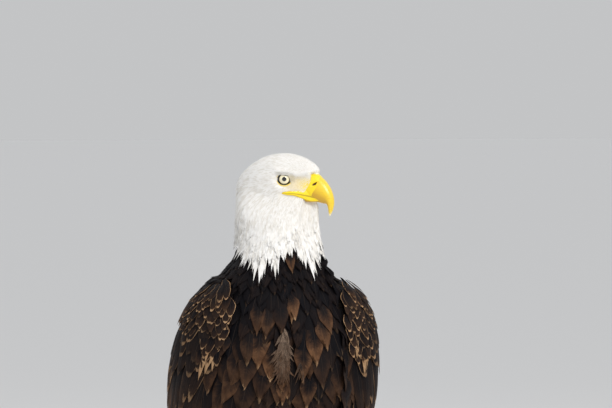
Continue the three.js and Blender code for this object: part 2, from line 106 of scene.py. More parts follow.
def finish_of(name, roughness, **sockets):
    """A new material with its node tree and shader; constants sit on the shader itself."""
    material = bpy.data.materials.new(name)
    material.use_nodes = True
    shader = material.node_tree.nodes["Principled BSDF"]
    shader.inputs["Roughness"].default_value = roughness
    for socket, value in sockets.items():
        shader.inputs[socket.replace("_", " ")].default_value = value
    return material, material.node_tree, shader


floor_mesh = bpy.data.meshes.new("floor")
floor_mesh.from_pydata([(-40, -40, 0), (40, -40, 0), (40, 40, 0), (-40, 40, 0)], [], [(0, 1, 2, 3)])
floor = bpy.data.objects.new("floor", floor_mesh)
scene.collection.objects.link(floor)
floor_finish, _, shader = finish_of("pale floor", 0.9)
shader.inputs["Base Color"].default_value = (*PALE, 1)
floor_mesh.materials.append(floor_finish)

world = bpy.data.worlds.new("studio")
world.use_nodes = True
tree = world.node_tree
# The sky is as bright as the floor at the horizon, so that no line shows, and lighter above.
sight = put(tree, "ShaderNodeTexCoord").outputs["Generated"]
up = put(tree, "ShaderNodeSeparateXYZ", {0: sight}).outputs["Z"]
horizon = tuple(pale * above for pale, above in zip(PALE, SKY))
background = tree.nodes["Background"]
background.inputs["Strength"].default_value = 0.80
tree.links.new(blend(tree, between(tree, up, 0.0, SKY_CLEAR), horizon, SKY), background.inputs["Color"])
scene.world = world
scene.view_settings.view_transform = "Standard"

CHEST = np.array([0.0, 0.0, 480.0])


def from_angles(azimuth, elevation):
    """Direction to a place so many degrees to the right of the front and above the floor."""
    a, e = math.radians(azimuth), math.radians(elevation)
    return np.array([math.sin(a) * math.cos(e), -math.cos(a) * math.cos(e), math.sin(e)])


def hold(name, data, where, away):
    """Puts a lamp or camera at a place in metres, with its back to the direction away."""
    holder = bpy.data.objects.new(name, data)
    holder.location = Vector(where)
    holder.rotation_euler = Vector(away).to_track_quat("Z", "Y").to_euler()
    scene.collection.objects.link(holder)
    return holder


def soft_light(name, azimuth, elevation, distance, size, power, colour):
    """A square lamp on a sphere round the chest, turned to face it."""
    away = from_angles(azimuth, elevation)
    lamp = bpy.data.lights.new(name, "AREA")
    lamp.size = size
    lamp.energy = power
    lamp.color = colour
    hold(name, lamp, (CHEST + SHIFT) * MM + away * distance, away)


# degrees to the right and up, distance, size, power, colour
soft_light("key", 24, 38, 3.0, 1.3, 57, (1.0, 0.975, 0.94))
soft_light("fill", -60, 26, 3.2, 2.4, 10, (0.95, 0.97, 1.0))
soft_light("back", 170, 50, 3.0, 2.0, 22, (1.0, 0.98, 0.95))

VIEW_AZIMUTH = -12.0
VIEW_ELEVATION = 2.0
VIEW_DISTANCE = 5.0
FRAME_WIDTH = 0.7956  # width of the view at the bird, in metres
SENSOR = 36.0
AIM_ASIDE = 39.0  # the bird stands left of the middle of the view
AIM_HEIGHT = 657.1
toward = from_angles(VIEW_AZIMUTH, VIEW_ELEVATION)
view_right = from_angles(VIEW_AZIMUTH + 90, 0.0)
aim = (SHIFT + view_right * AIM_ASIDE + [0, 0, AIM_HEIGHT]) * MM
lens = bpy.data.cameras.new("camera")
lens.sensor_width = SENSOR
lens.lens = SENSOR * VIEW_DISTANCE / FRAME_WIDTH
lens.clip_end = 100
scene.camera = hold("camera", lens, aim + toward * VIEW_DISTANCE, toward)

# ---------------------------------------------------------------- the skin
# One skin covers head, neck, trunk, thighs and the arms of the wings. It is thin, pale
# under the white feathers and dark under the brown ones, and bare and yellowish only on
# the lores, between eye and bill. It is cast as one closed body and set in under the coat.
# columns: height, y of the widest line, half width, reach ahead, reach behind,
# share of the head's turn, narrowing towards the throat
TORSO = np.array([
    [196, 134, 34, 24, 30, 0, 0],
    [214, 114, 56, 50, 58, 0, 0],
    [244, 86, 78, 80, 84, 0, 0],
    [284, 60, 95, 99, 98, 0, 0],
    [334, 34, 109, 109, 108, 0, 0],
    [384, 16, 117, 112, 107, 0, 0],
    [419, 6, 119, 112, 103, 0, 0],
    [454, -2, 117, 108, 97, 0, 0],
    [481, -7, 113, 102, 92, 0, 0],
    [507, -12, 107, 94, 86, 0, 0],
    [533, -16, 96, 84, 80, 0, 0],
    [559, -20, 83, 72, 73, 0, 0],
    [574, -22, 73, 65, 66, 0, 0],
    [588, -22, 63, 61, 60, 0, 0],
    [606, -22, 57, 59, 57, 0.35, 0],
    [625, -22, 51, 57, 56, 0.75, 0.1],
    [644, -22, 45, 55.5, 56, 1, 0.25],
    [664, -22, 36, 54, 55, 1, 0.42],
    [684, -22, 30, 48, 50, 1, 0.45],
])
# columns: distance ahead, half width, top, bottom, height of the widest line
HEAD = np.array([
    [-58.5, 8, 681, 656, 669],
    [-54, 19, 692, 646, 671],
    [-45, 28, 702.5, 636, 676],
    [-30, 34, 713.5, 632, 682],
    [-12, 37, 721.5, 632, 686],
    [6, 35.5, 724, 634, 690],
    [19, 30.5, 723, 638, 692],
    [31, 25.5, 720, 645, 692],
    [42, 19.5, 715.5, 654, 690],
    [50, 14, 710.5, 668, 692],
    [56, 8, 705.5, 686, 696],
])
# columns: height, x, y, reach aside, reach fore and aft
THIGH = np.array([
    [72, 56, 32, 13, 16],
    [88, 56, 33, 19, 23],
    [120, 57, 30, 27, 34],
    [160, 59, 20, 34, 46],
    [205, 61, 9, 40, 56],
    [250, 63, 2, 43, 62],
    [290, 63, 0, 42, 64],
    [325, 60, 0, 36, 58],
])
# columns: height, y of the widest line, half width, reach behind, x and y of the front
# edge, x of the back edge, thickness
WING = np.array([
    [30, 266, 39, 12, 34, 261, 33, 2],
    [59, 250, 47.5, 18, 44, 243, 26, 3],
    [84, 232, 56, 30, 53, 220, 19, 3],
    [134, 184, 72, 65, 67, 160, 13, 3.5],
    [184, 142, 88, 90, 81, 104, 9, 4],
    [234, 108, 104, 106, 94, 60, 7, 5],
    [284, 78, 117, 118, 102, 22, 7, 7],
    [334, 52, 127, 122, 105, -11, 8, 10],
    [384, 30, 134, 122, 100, -41, 10, 14],
    [434, 12, 137, 117, 90, -66, 13, 18],
    [481, -2, 133, 106, 80, -80, 20, 20],
    [507, -8, 127, 98, 76, -82, 30, 20],
    [533, -13, 116, 88, 74, -78, 44, 18],
    [552, -16, 101, 78, 75, -68, 62, 12],
    [566, -18, 87, 64, 79, -48, 78, 3],
])
HEAD_TURN = math.atan2(head_ahead[0], -head_ahead[1])
BODY_POWER = 2.3
HEAD_POWER = 2.25
WING_POWER = 2.35
WING_EDGE = 0.16  # share of a wing's width in which it thins out towards each edge
ARM_LOW = 330.0  # the flesh of a folded wing ends here, feathers alone go on below
SKIN_VOXEL = 3.3


def through(stations, steps):
    """Rows on a Catmull-Rom curve through the stations: for neighbours a, b, c, d and t from
    0 to 1 a row is b + t/2 (c - a + t (2a - 5b + 4c - d + t (3b - 3c + d - a)))."""
    padded = np.vstack([stations[:1], stations, stations[-1:]])
    a, b, c, d = (padded[k : len(padded) - 3 + k, None, :] for k in range(4))
    t = (np.arange(steps) / steps)[None, :, None]
    rows = b + 0.5 * t * (c - a + t * (2 * a - 5 * b + 4 * c - d + t * (3 * (b - c) + d - a)))
    return np.vstack([rows.reshape(-1, stations.shape[1]), stations[-1:]])


def signed_power(value, power):
    return np.sign(value) * np.abs(value) ** power


def angles(sides):
    """Even angles round a section, in one row."""
    return np.linspace(0, 2 * math.pi, sides, endpoint=False)[None, :]


def columns_of(rows):
    """The columns of a table, each standing upright."""
    return rows.T[:, :, None]


def torso_rings(rows, sides=96):
    """Level rings: ahead = depth cos(a)^(2/p), aside = half sin(a)^(2/p) (1 - egg ahead/depth),
    turned about the neck by its share of the head's turn."""
    z, y, half, front, back, turn, egg = columns_of(rows)
    a = angles(sides)
    depth = np.where(np.cos(a) > 0, front, back)
    ahead = depth * signed_power(np.cos(a), 2 / BODY_POWER)
    aside = half * (1 - egg * ahead / depth) * signed_power(np.sin(a), 2 / BODY_POWER)
    c, s = np.cos(HEAD_TURN * turn), np.sin(HEAD_TURN * turn)
    return np.stack([c * aside + s * ahead, y + s * aside - c * ahead, z + 0 * a], axis=-1)


def head_rings(rows, sides=96):
    """Upright rings across the head: left = half cos(a)^(2/p), up = reach sin(a)^(2/p)."""
    ahead, half, top, bottom, wide = columns_of(rows)
    a = angles(sides)
    reach = np.where(np.sin(a) > 0, top - wide, wide - bottom)
    left = half * signed_power(np.cos(a), 2 / HEAD_POWER)
    return head_point(ahead + 0 * a, left, wide + reach * signed_power(np.sin(a), 2 / HEAD_POWER))


def thigh_rings(rows, side, sides=48):
    """Level ovals down a thigh."""
    z, x, y, aside, along = columns_of(rows)
    a = angles(sides)
    return np.stack([side * (x + aside * np.cos(a)), y + along * np.sin(a), z + 0 * a], axis=-1)


def wing_face(rows, across):
    """The outside of the right-hand half of the bird's folded wings: for across from 0 at the
    front edge to 1 at the back edge, x = half cos(a)^(2/p), y = y0 + depth sin(a)^(2/p)."""
    z, y, half, back, front_x, front_y, back_x, _ = columns_of(rows)
    p = WING_POWER
    front = (y - front_y) / (1 - (front_x / half) ** p) ** (1 / p)
    start = -np.arccos((front_x / half) ** (p / 2))
    end = np.arccos((back_x / half) ** (p / 2))
    a = start + (end - start) * across
    depth = np.where(a < 0, front, back)
    x = half * signed_power(np.cos(a), 2 / p)
    return np.stack([x, y + depth * signed_power(np.sin(a), 2 / p), z + 0 * a], axis=-1)


def wing_rings(rows, side, columns=40):
    """Closed level rings: out along the wing's face and back along its lining."""
    t = np.linspace(0, 1, columns)[None, :]
    face = wing_face(rows, t)
    along = wing_face(rows, np.minimum(t + 0.01, 1)) - wing_face(rows, np.maximum(t - 0.01, 0))
    along /= np.linalg.norm(along, axis=-1, keepdims=True)
    out = np.stack([along[..., 1], -along[..., 0], 0 * along[..., 0]], axis=-1)
    edge = np.sqrt(np.minimum(1, np.minimum(t, 1 - t) / WING_EDGE + 0.02))
    depth = np.maximum(rows[:, 7:8] * edge, 1)[..., None]
    rings = np.concatenate([face, (face - out * depth)[:, ::-1]], axis=1)
    return rings * [side, 1, 1]


def capped_tube(rings, ends=True):
    """Vertices and faces of a tube through rings; ends close it with a point at each end."""
    rows, sides, _ = rings.shape
    vertices = rings.reshape(-1, 3)
    i, j = np.meshgrid(np.arange(rows - 1), np.arange(sides), indexing="ij")
    k = (j + 1) % sides
    walls = np.stack([i * sides + j, i * sides + k, (i + 1) * sides + k, (i + 1) * sides + j], axis=-1)
    faces = walls.reshape(-1, 4).tolist()
    if ends:
        vertices = np.vstack([vertices, rings[0].mean(0), rings[-1].mean(0)])
        j, k = j[0], k[0]
        first, last = rows * sides, (rows - 1) * sides
        faces += np.stack([k, j, 0 * j + first], axis=-1).tolist()
        faces += np.stack([last + j, last + k, 0 * j + first + 1], axis=-1).tolist()
    return vertices, faces


def mesh_of(name, tubes):
    """One mesh object in metres from tubes given in the bird's own frame, with its normals
    turned outwards."""
    vertices, faces, start = [], [], 0
    for tube_vertices, tube_faces in tubes:
        vertices.append((tube_vertices + SHIFT) * MM)
        faces += [[v + start for v in face] for face in tube_faces]
        start += len(tube_vertices)
    mesh = bpy.data.meshes.new(name)
    mesh.from_pydata(np.vstack(vertices).tolist(), [], faces)
    work = bmesh.new()
    work.from_mesh(mesh)
    bmesh.ops.recalc_face_normals(work, faces=work.faces)
    work.to_mesh(mesh)
    work.free()
    mesh.shade_smooth()
    thing = bpy.data.objects.new(name, mesh)
    scene.collection.objects.link(thing)
    return thing


def tube_mesh(name, rings, ends=True):
    return mesh_of(name, [capped_tube(rings, ends)])


def finished(thing):
    """Replaces a thing's mesh by the result of its modifiers and removes them."""
    graph = bpy.context.evaluated_depsgraph_get()
    result = bpy.data.meshes.new_from_object(thing.evaluated_get(graph))
    result.name = thing.name
    thing.modifiers.clear()
    thing.data = result
    result.shade_smooth()


def places(mesh):
    """Vertex places in the bird's own frame."""
    flat = np.empty(len(mesh.vertices) * 3)
    mesh.vertices.foreach_get("co", flat)
    return flat.reshape(-1, 3) / MM - SHIFT


def facing(mesh):
    """Vertex normals."""
    flat = np.empty(len(mesh.vertices) * 3)
    mesh.vertex_normals.foreach_get("vector", flat)
    return flat.reshape(-1, 3)


def set_places(mesh, where):
    mesh.vertices.foreach_set("co", ((where + SHIFT) * MM).ravel())
    mesh.update()


arm_rows = through(WING, 8)
arm_rows = arm_rows[arm_rows[:, 0] > ARM_LOW]
body_tubes = [
    capped_tube(torso_rings(through(TORSO, 6))),
    capped_tube(head_rings(through(HEAD, 8))),
]
for side in (1, -1):
    body_tubes.append(capped_tube(thigh_rings(through(THIGH, 6), side)))
    body_tubes.append(capped_tube(wing_rings(arm_rows, side)))
outline = mesh_of("outline", body_tubes)
remesh = outline.modifiers.new("remesh", "REMESH")
remesh.mode = "VOXEL"
remesh.voxel_size = SKIN_VOXEL * MM
remesh.use_smooth_shade = True
ease = outline.modifiers.new("ease", "SMOOTH")
ease.factor = 0.5
ease.iterations = 5
finished(outline)


def in_head(where):
    """Distances ahead, to the left and up in the head."""
    away = where - [0, NECK_Y, 0]
    return away @ head_ahead, away @ head_left, where[:, 2]


def folded(ahead, left, up):
    """Places in the head with its right half folded over on the left."""
    return np.stack([ahead, np.abs(left), up], axis=1)


def near_path(path, where):
    """Distance from each place to the nearest stretch of a path of points."""
    best = np.full(len(where), np.inf)
    for a, b in zip(path[:-1], path[1:]):
        t = np.clip(((where - a) @ (b - a)) / ((b - a) @ (b - a)), 0, 1)
        best = np.minimum(best, np.linalg.norm(where - a - t[:, None] * (b - a), axis=1))
    return best


def smooth(x, low, high):
    """Goes from 0 at low to 1 at high along 3t^2 - 2t^3."""
    t = np.clip((x - low) / (high - low), 0, 1)
    return t * t * (3 - 2 * t)


EYE_SPOT = (20.2, 28.2, EYE_HEIGHT)  # where an eye shows: ahead, aside, up
BROW = np.array([(0, 34, 703), (10, 32, 700.8), (19, 29.5, 698.6), (28, 26, 697), (37, 21.5, 696.8),
                 (46, 16, 699)])
LORE = np.array([(30, 24.5, 686), (37, 20, 684.5), (45, 15, 684)])
BROW_RISE, BROW_WIDTH = 3.6, 4.6
ORBIT_DEPTH, ORBIT_WIDTH = 4.2, 11.5
LORE_DEPTH, LORE_WIDTH = 0.8, 7.0
NOTCH_DEPTH = 6.0


def cere_root(up):
    """How far ahead the feathers end at a height: at the cere above, sooner at the gape."""
    return 41 + 9.0 * smooth(up, 668, 688)


def sculpt_face(where, normals):
    """Face forms, each a bell exp(-(d/w)^2) of the distance d to a path or spot: the brow
    stands out, the orbit round the eye, the lores ahead of it and the bed of the cere
    sink in."""
    ahead, left, up = in_head(where)
    half = folded(ahead, left, up)
    brow = np.exp(-((near_path(BROW, half) / BROW_WIDTH) ** 2)) * smooth(ahead, 0, 19)
    from_eye = np.linalg.norm((half - EYE_SPOT) * [1, 0.5, 1.05], axis=1)
    orbit = np.exp(-((from_eye / ORBIT_WIDTH) ** 6)) * smooth(up, 701, 697)
    lore = np.exp(-((near_path(LORE, half) / LORE_WIDTH) ** 2))
    shift = BROW_RISE * brow - ORBIT_DEPTH * orbit - LORE_DEPTH * lore
    front = cere_root(up)
    notch = smooth(ahead, front, front + 4) * smooth(up, 700, 696) * smooth(np.abs(left), 3, 7)
    return where + normals * (shift * (np.abs(left) > 6) - NOTCH_DEPTH * notch)[:, None]


# The face is divided finer than the rest before it is modelled.
work = bmesh.new()
work.from_mesh(outline.data)
at = places(outline.data)
ahead, left, up = in_head(at)
on_face = (ahead > -4) & (up > 655) & (up < 712)
for _ in range(2):  # the whole face at first, then only round the eyes and lores
    chosen = [e for e in work.edges if e.verts[0].index < len(on_face) and on_face[e.verts[0].index]]
    bmesh.ops.subdivide_edges(work, edges=chosen, cuts=1, use_grid_fill=True)
    work.verts.index_update()
    at = np.array([v.co[:] for v in work.verts]) / MM - SHIFT
    ahead, left, up = in_head(at)
    on_face = (ahead > 5) & (up > 664) & (up < 707) & (np.abs(left) > 8)
work.to_mesh(outline.data)
work.free()
outline.data.shade_smooth()
set_places(outline.data, sculpt_face(places(outline.data), facing(outline.data)))

# distance from the bill's root, depth of the coat there
SKIN_DEPTH = [(0, 1.2), (40, 1.6), (75, 3.0), (110, 5.0), (160, 8.0), (400, 9.0)]
WING_END_SHARE = 0.25  # the coat is so much shallower on the thin lower end of a wing's flesh
BILL_ROOT = head_point(44, 0, 694)


def coat_depth(where):
    """Depth of the coat over the skin, growing with the distance from the bill's root."""
    x, y, z = where.T
    wing_end = smooth(np.abs(x), 60, 85) * smooth(y, 20, 48) * smooth(z, 470, 400)
    depth = np.interp(np.linalg.norm(where - BILL_ROOT, axis=1), *zip(*SKIN_DEPTH))
    return depth * (1 - (1 - WING_END_SHARE) * wing_end)


def calc(tree, operation, a, b=0.0):
    """Result of a Math node."""
    return put(tree, "ShaderNodeMath", {0: a, 1: b}, operation=operation).outputs[0]


def times(tree, a, b):
    return calc(tree, "MULTIPLY", a, b)


def plus(tree, a, b):
    return calc(tree, "ADD", a, b)


def clouds(tree, place, scale, detail=3.0):
    """Noise from 0 to 1 on a place."""
    inputs = {"Vector": place, "Scale": scale, "Detail": detail}
    return put(tree, "ShaderNodeTexNoise", inputs).outputs["Fac"]


def relief(tree, height, strength, distance):
    """Normal of a bump of a given height."""
    inputs = {"Height": height, "Strength": strength, "Distance": distance}
    return put(tree, "ShaderNodeBump", inputs).outputs["Normal"]


def attribute(tree, name):
    return put(tree, "ShaderNodeAttribute", attribute_name=name).outputs["Fac"]


def own_place(tree):
    return put(tree, "ShaderNodeTexCoord").outputs["Object"]


def stretched(tree, place, scale):
    """A place with each of its three axes scaled."""
    return put(tree, "ShaderNodeMapping", {"Vector": place, "Scale": scale}).outputs[0]


def dress(tree, shader, colour, normal):
    """Feeds a shader its colour and its relief."""
    tree.links.new(colour, shader.inputs["Base Color"])
    tree.links.new(normal, shader.inputs["Normal"])


def give(thing, name, values):
    """Writes one number per vertex into the mesh, for the material to read."""
    thing.data.attributes.new(name, "FLOAT", "POINT").data.foreach_set("value", values.ravel())


def settle(thing, finish, slot, *nodes):
    """Gives a piece its finish, fixes it to the body and hides the solids it stands for."""
    thing.data.materials.clear()
    thing.data.materials.append(finish)
    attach(thing, "root")
    if nodes:
        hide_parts(*nodes)


WHITE_EDGE = 600.0  # height on the neck where the white plumage gives way to the brown
skin = outline.copy()
skin.data = outline.data.copy()
skin.name = skin.data.name = "skin"
scene.collection.objects.link(skin)
at = places(skin.data)
ahead, left, up = in_head(at)
set_places(skin.data, at - facing(skin.data) * coat_depth(at)[:, None])
give(skin, "lore", np.exp(-((near_path(LORE, folded(ahead, left, up)) / 11.0) ** 4)) * (up > 660))
give(skin, "yellow", smooth(ahead, 30, 48) * smooth(up, 698, 684) * smooth(np.abs(left), 5, 9))
give(skin, "white", smooth(up, WHITE_EDGE - 12, WHITE_EDGE + 12))

skin_finish, tree, shader = finish_of("skin", 0.75, Specular_IOR_Level=0.1)
place = own_place(tree)
mottle = clouds(tree, place, 220.0)
pale = blend(tree, mottle, (0.80, 0.77, 0.72), (0.88, 0.86, 0.82))
dark = blend(tree, mottle, (0.009, 0.007, 0.0065), (0.024, 0.017, 0.013))
lores = blend(tree, clouds(tree, place, 620.0), (0.74, 0.63, 0.44), (0.88, 0.82, 0.66))
lores = blend(tree, attribute(tree, "yellow"), lores, (0.86, 0.70, 0.16))
colour = blend(tree, attribute(tree, "white"), dark, pale)
colour = blend(tree, attribute(tree, "lore"), colour, lores)
dress(tree, shader, colour, relief(tree, clouds(tree, place, 900.0), 0.5, 0.0006))
settle(skin, skin_finish, "white_feathers", "head", "neck", "trunk", "thigh_left", "thigh_right",
       "wing_left_coverts", "wing_right_coverts")

# ---------------------------------------------------------------- the bill and its cere
# The upper bill is a core of bone in a sheath of golden horn that ends in a long hook. The
# cere, soft yellow skin with the nostrils in it, wraps its root and stands a little proud.
# columns: ridge ahead, ridge height, cutting edge ahead, cutting edge height, half width
BILL = np.array([
    [40, 699.5, 40, 665.5, 15],
    [48, 698.8, 47, 663.5, 13.6],
    [55, 696.5, 54, 661.8, 12.2],
    [61, 692.5, 60, 660.2, 11],
    [67, 686.8, 64.5, 659.2, 9.8],
    [72, 679.8, 67.5, 658.6, 8.4],
    [75.6, 671.6, 69.3, 657.0, 7],
    [77.4, 663, 70, 653.6, 5.4],
    [76.6, 654.2, 70.4, 649.8, 3.8],
    [74.3, 647.3, 70.8, 645.9, 2.2],
    [72.2, 643.2, 71.4, 643.4, 0.7],
])
# height, distance ahead of the cere's front edge
CERE_FRONT = [(660, 47.5), (664, 48.6), (672, 52), (680, 57.3), (687, 60.4), (694, 59.2), (700, 57)]
CERE_RISE = 0.5
NOSTRIL = (55.6, 684.8)  # ahead and up
NOSTRIL_ALONG = (0.9, 0.44)  # the way the slit runs
UNDER_CERE = 0.03  # share of the bill's length that the horn runs on under the cere


def bill_point(share, a, grow=0.0):
    """Surface of the bill: share from 0 at its root to 1 at its tip picks a section, and a
    runs round it: rise = 0.4 h + reach sin(a)^0.95, left = half cos(a)^0.9."""
    rows = through(BILL, 12)
    at_row = share * (len(rows) - 1)
    ridge_f, ridge_z, edge_f, edge_z, half = (
        np.interp(at_row, np.arange(len(rows)), rows[:, k]) for k in range(5)
    )
    up_f, up_z = ridge_f - edge_f, ridge_z - edge_z
    length = np.hypot(up_f, up_z)
    reach = np.where(np.sin(a) > 0, 0.6, 0.4) * length + grow
    rise = 0.4 * length + reach * signed_power(np.sin(a), 0.95)
    left = (half + grow) * signed_power(np.cos(a), 0.9)
    return edge_f + up_f / length * rise, left, edge_z + up_z / length * rise


def cere_edge(a):
    """Share of the bill's length where the cere ends, for each angle round the section."""
    share = np.linspace(0, 0.75, 400)[:, None]
    ahead, _, up = bill_point(share, a[None, :])
    beyond = ahead - np.interp(up, *zip(*CERE_FRONT))
    return share[np.argmax(beyond > 0, axis=0), 0]


round_bill = angles(96)[0]
edge_share = cere_edge(round_bill)

# Horn: from under the cere's edge to the tip of the hook.
steps = np.linspace(0, 1, 110)[:, None] ** 0.9
share = edge_share - UNDER_CERE + (1 - edge_share + UNDER_CERE) * steps
angle = np.broadcast_to(round_bill, share.shape)
ahead, left, up = bill_point(share, angle)
horn = tube_mesh("bill_horn", head_point(ahead, left, up))
give(horn, "along", np.append(share.ravel(), [0.3, 1.0]))
give(horn, "low", np.append(0.5 - 0.5 * np.sin(angle).ravel(), [0.5, 0.5]))

horn_finish, tree, shader = finish_of("horn", 0.34, Coat_Weight=0.35, Coat_Roughness=0.25,
                                      Subsurface_Weight=0.08, Subsurface_Radius=(0.004, 0.002, 0.0008))
place = own_place(tree)
along = attribute(tree, "along")
low = attribute(tree, "low")
colour = blend(tree, clouds(tree, place, 90.0), (0.80, 0.53, 0.016), (0.88, 0.64, 0.04))
side_shade = times(tree, between(tree, low, 0.25, 0.7), between(tree, along, 0.86, 0.5))
colour = blend(tree, times(tree, side_shade, 0.85), colour, (0.60, 0.33, 0.010))
colour = blend(tree, between(tree, along, 0.84, 0.97), colour, (0.88, 0.78, 0.50))
layers = clouds(tree, stretched(tree, place, (140, 140, 900)), 1.0, 4.0)
streaks = times(tree, between(tree, layers, 0.5, 0.75), 0.3)
colour = blend(tree, streaks, colour, (0.50, 0.26, 0.03))
dress(tree, shader, colour, relief(tree, layers, 0.25, 0.0004))
settle(horn, horn_finish, "bill_horn", "bill_upper")

# Cere: over the bill's root, with its rim rolled down on the horn and the nostrils sunk in and painted
# near black as shade.
steps = np.linspace(0, 1, 72)[:, None]
share = edge_share * steps
angle = np.broadcast_to(round_bill, share.shape)
lip = np.sqrt(np.clip(1 - ((steps - 0.86) / 0.14).clip(0) ** 2, 0, 1))
bare_horn, grown = bill_point(share, angle), bill_point(share, angle, CERE_RISE)
ahead, left, up = (g * lip + p * (1 - lip) for p, g in zip(bare_horn, grown))
along_slit = (ahead - NOSTRIL[0]) * NOSTRIL_ALONG[0] + (up - NOSTRIL[1]) * NOSTRIL_ALONG[1]
across_slit = (up - NOSTRIL[1]) * NOSTRIL_ALONG[0] - (ahead - NOSTRIL[0]) * NOSTRIL_ALONG[1]
slit_and_shade = np.exp(-(((along_slit / 4.7) ** 2 + (across_slit / 1.55) ** 2) ** 2)) * (np.abs(left) > 4)
rim = np.exp(-((np.sqrt((along_slit / 6.0) ** 2 + (across_slit / 2.9) ** 2) - 1) / 0.28) ** 2)
wrinkles = 0.16 * np.sin((ahead + 0.5 * up) * 2.1) * smooth(up, 684, 690) * smooth(ahead, 60, 54)
left = left - np.sign(left) * slit_and_shade * 2.8 + np.sign(left) * (rim * 0.45 + wrinkles) * (np.abs(left) > 4)
cere = tube_mesh("cere", head_point(ahead, left, up))
give(cere, "slit_and_shade", np.append(slit_and_shade.ravel(), [0, 0]))

cere_finish, tree, shader = finish_of("cere skin", 0.46, Subsurface_Weight=0.12,
                                      Subsurface_Radius=(0.003, 0.002, 0.0006))
place = own_place(tree)
colour = blend(tree, clouds(tree, place, 130.0), (0.88, 0.64, 0.006), (0.92, 0.74, 0.02))
pores = put(tree, "ShaderNodeTexVoronoi", {"Vector": place, "Scale": 1400.0}).outputs["Distance"]
pitted = times(tree, between(tree, pores, 0.45, 0.8), 0.35)
colour = blend(tree, pitted, colour, (0.72, 0.42, 0.01))
# Painted shade: the sunk nostril slits, and the gape's fold, are coloured near black.
colour = blend(tree, between(tree, attribute(tree, "slit_and_shade"), 0.25, 0.8), colour, (0.06, 0.010, 0.003))
height = plus(tree, times(tree, pores, 0.5), clouds(tree, place, 500.0))
dress(tree, shader, colour, relief(tree, height, 0.35, 0.0005))
settle(cere, cere_finish, "cere_skin", "cere")

# The yellow flange of skin along each side of the mouth, back to its corner under the eye.
# columns: distance ahead, aside, height, thickness, height of the section
GAPE = np.array([
    [17, 27.6, 672.8, 0.9, 0.8],
    [22, 26, 672.9, 2.2, 2.3],
    [31, 22.4, 672.6, 2.5, 3.0],
    [38, 18.2, 671.7, 2.2, 4.7],
    [44, 14.0, 670.5, 1.9, 6.2],
    [49, 10.9, 669.3, 1.3, 6.6],
    [54, 8.8, 667.6, 1.0, 5.4],
    [59, 7.0, 666.4, 0.8, 3.6],
])
rows = through(GAPE, 10)
a = angles(32)
for side, name in ((1, "left"), (-1, "right")):
    ahead, aside, up, thick, high = columns_of(rows)
    fold = 0.16 * np.exp(-(((np.sin(a) + 0.1) / 0.22) ** 2)) * (np.cos(a) > 0)
    left = aside + (thick + 0.3) * np.cos(a) * (1 - fold)
    flange = tube_mesh(f"gape_{name}", head_point(ahead + 0 * a, side * left, up + high * np.sin(a)))
    # The fold along the flange gets painted shade, through the same near-black mark as the nostrils.
    give(flange, "slit_and_shade", np.append((fold * 5 + 0 * rows[:, :1]).ravel(), [0, 0]) * 0.8)
    settle(flange, cere_finish, "cere_skin")

# The lower bill: a shallow trough of horn that the upper one closes over.
# columns: distance ahead, half width, height, half of the section's height
MANDIBLE = np.array([
    [22, 12, 664, 6],
    [36, 11, 664.5, 4.6],
    [50, 9.4, 664.5, 3.4],
    [60, 7.2, 663.5, 2.6],
    [66, 4, 662, 1.6],
])
rows = through(MANDIBLE, 10)
ahead, half, up, high = columns_of(rows)
a = angles(48)
flat = np.where(np.sin(a) > 0, 0.75, 1.0)
mandible = tube_mesh("bill_lower_horn", head_point(
    ahead + 0 * a, (half + 0 * a) * signed_power(np.cos(a), 0.85), up + high * flat * np.sin(a)))
give(mandible, "along", np.full(len(mandible.data.vertices), 0.4))
give(mandible, "low", np.full(len(mandible.data.vertices), 0.7))
settle(mandible, horn_finish, "bill_horn", "bill_lower")

# ---------------------------------------------------------------- the eyes and their lids
# Each eye is a ball that looks aside under the brow: a round black pupil in a cream iris
# under a wet clear front. The lids are rings of bare skin, black at the rim, then yellow.
EYE_RADIUS = 11.0
EYE_ASIDE = 17.8
EYE_FORWARD = 1.0  # the ball sits this far ahead of the middle of its socket
EYE_LOOK = math.radians(65)  # from straight ahead to the line of sight
PUPIL = 15.5  # degrees from the line of sight
IRIS = 36.0
RIM_ASIDE = 8.2  # half of the opening of the lids, fore and aft
RIM_UP = 6.6
BROW_LINE = 4.9  # the upper lid runs straight under the brow, falling towards the bill
BROW_SLANT = 0.21
LID_OUT = 11.6  # the lids' outer edge from the line of sight
LID_INSIDE = 0.16  # share of the lids that lies inside their rim
LID_HIGHEST = 9.5  # the outer edge is never further out than this from the eye's middle


def eye_axes(side):
    """Middle of an eye, its line of sight, and the directions forward and up across it."""
    middle = head_point(EYE_AHEAD + EYE_FORWARD, side * EYE_ASIDE, EYE_HEIGHT)
    look = math.cos(EYE_LOOK) * head_ahead + math.sin(EYE_LOOK) * side * head_left
    fore = math.sin(EYE_LOOK) * head_ahead - math.cos(EYE_LOOK) * side * head_left
    return middle, look, fore, np.array([0, 0, 1.0])


eye_finish, tree, shader = finish_of("eye", 0.12, Coat_Weight=1.0, Coat_Roughness=0.02)
gaze = attribute(tree, "gaze")
turn = attribute(tree, "turn")
spokes = put(tree, "ShaderNodeCombineXYZ", {"X": times(tree, turn, 26.0),
                                            "Y": times(tree, gaze, 0.05)}).outputs[0]
fibres = clouds(tree, spokes, 1.0, 4.0)
iris = blend(tree, fibres, (0.76, 0.66, 0.38), (0.95, 0.90, 0.70))
iris = blend(tree, between(tree, gaze, IRIS - 7, IRIS), iris, (0.62, 0.50, 0.24))
iris = blend(tree, between(tree, gaze, IRIS - 1.5, IRIS + 1.0), iris, (0.012, 0.009, 0.007))
colour = blend(tree, between(tree, gaze, PUPIL - 0.6, PUPIL + 0.6), (0.004, 0.004, 0.005), iris)
tree.links.new(colour, shader.inputs["Base Color"])

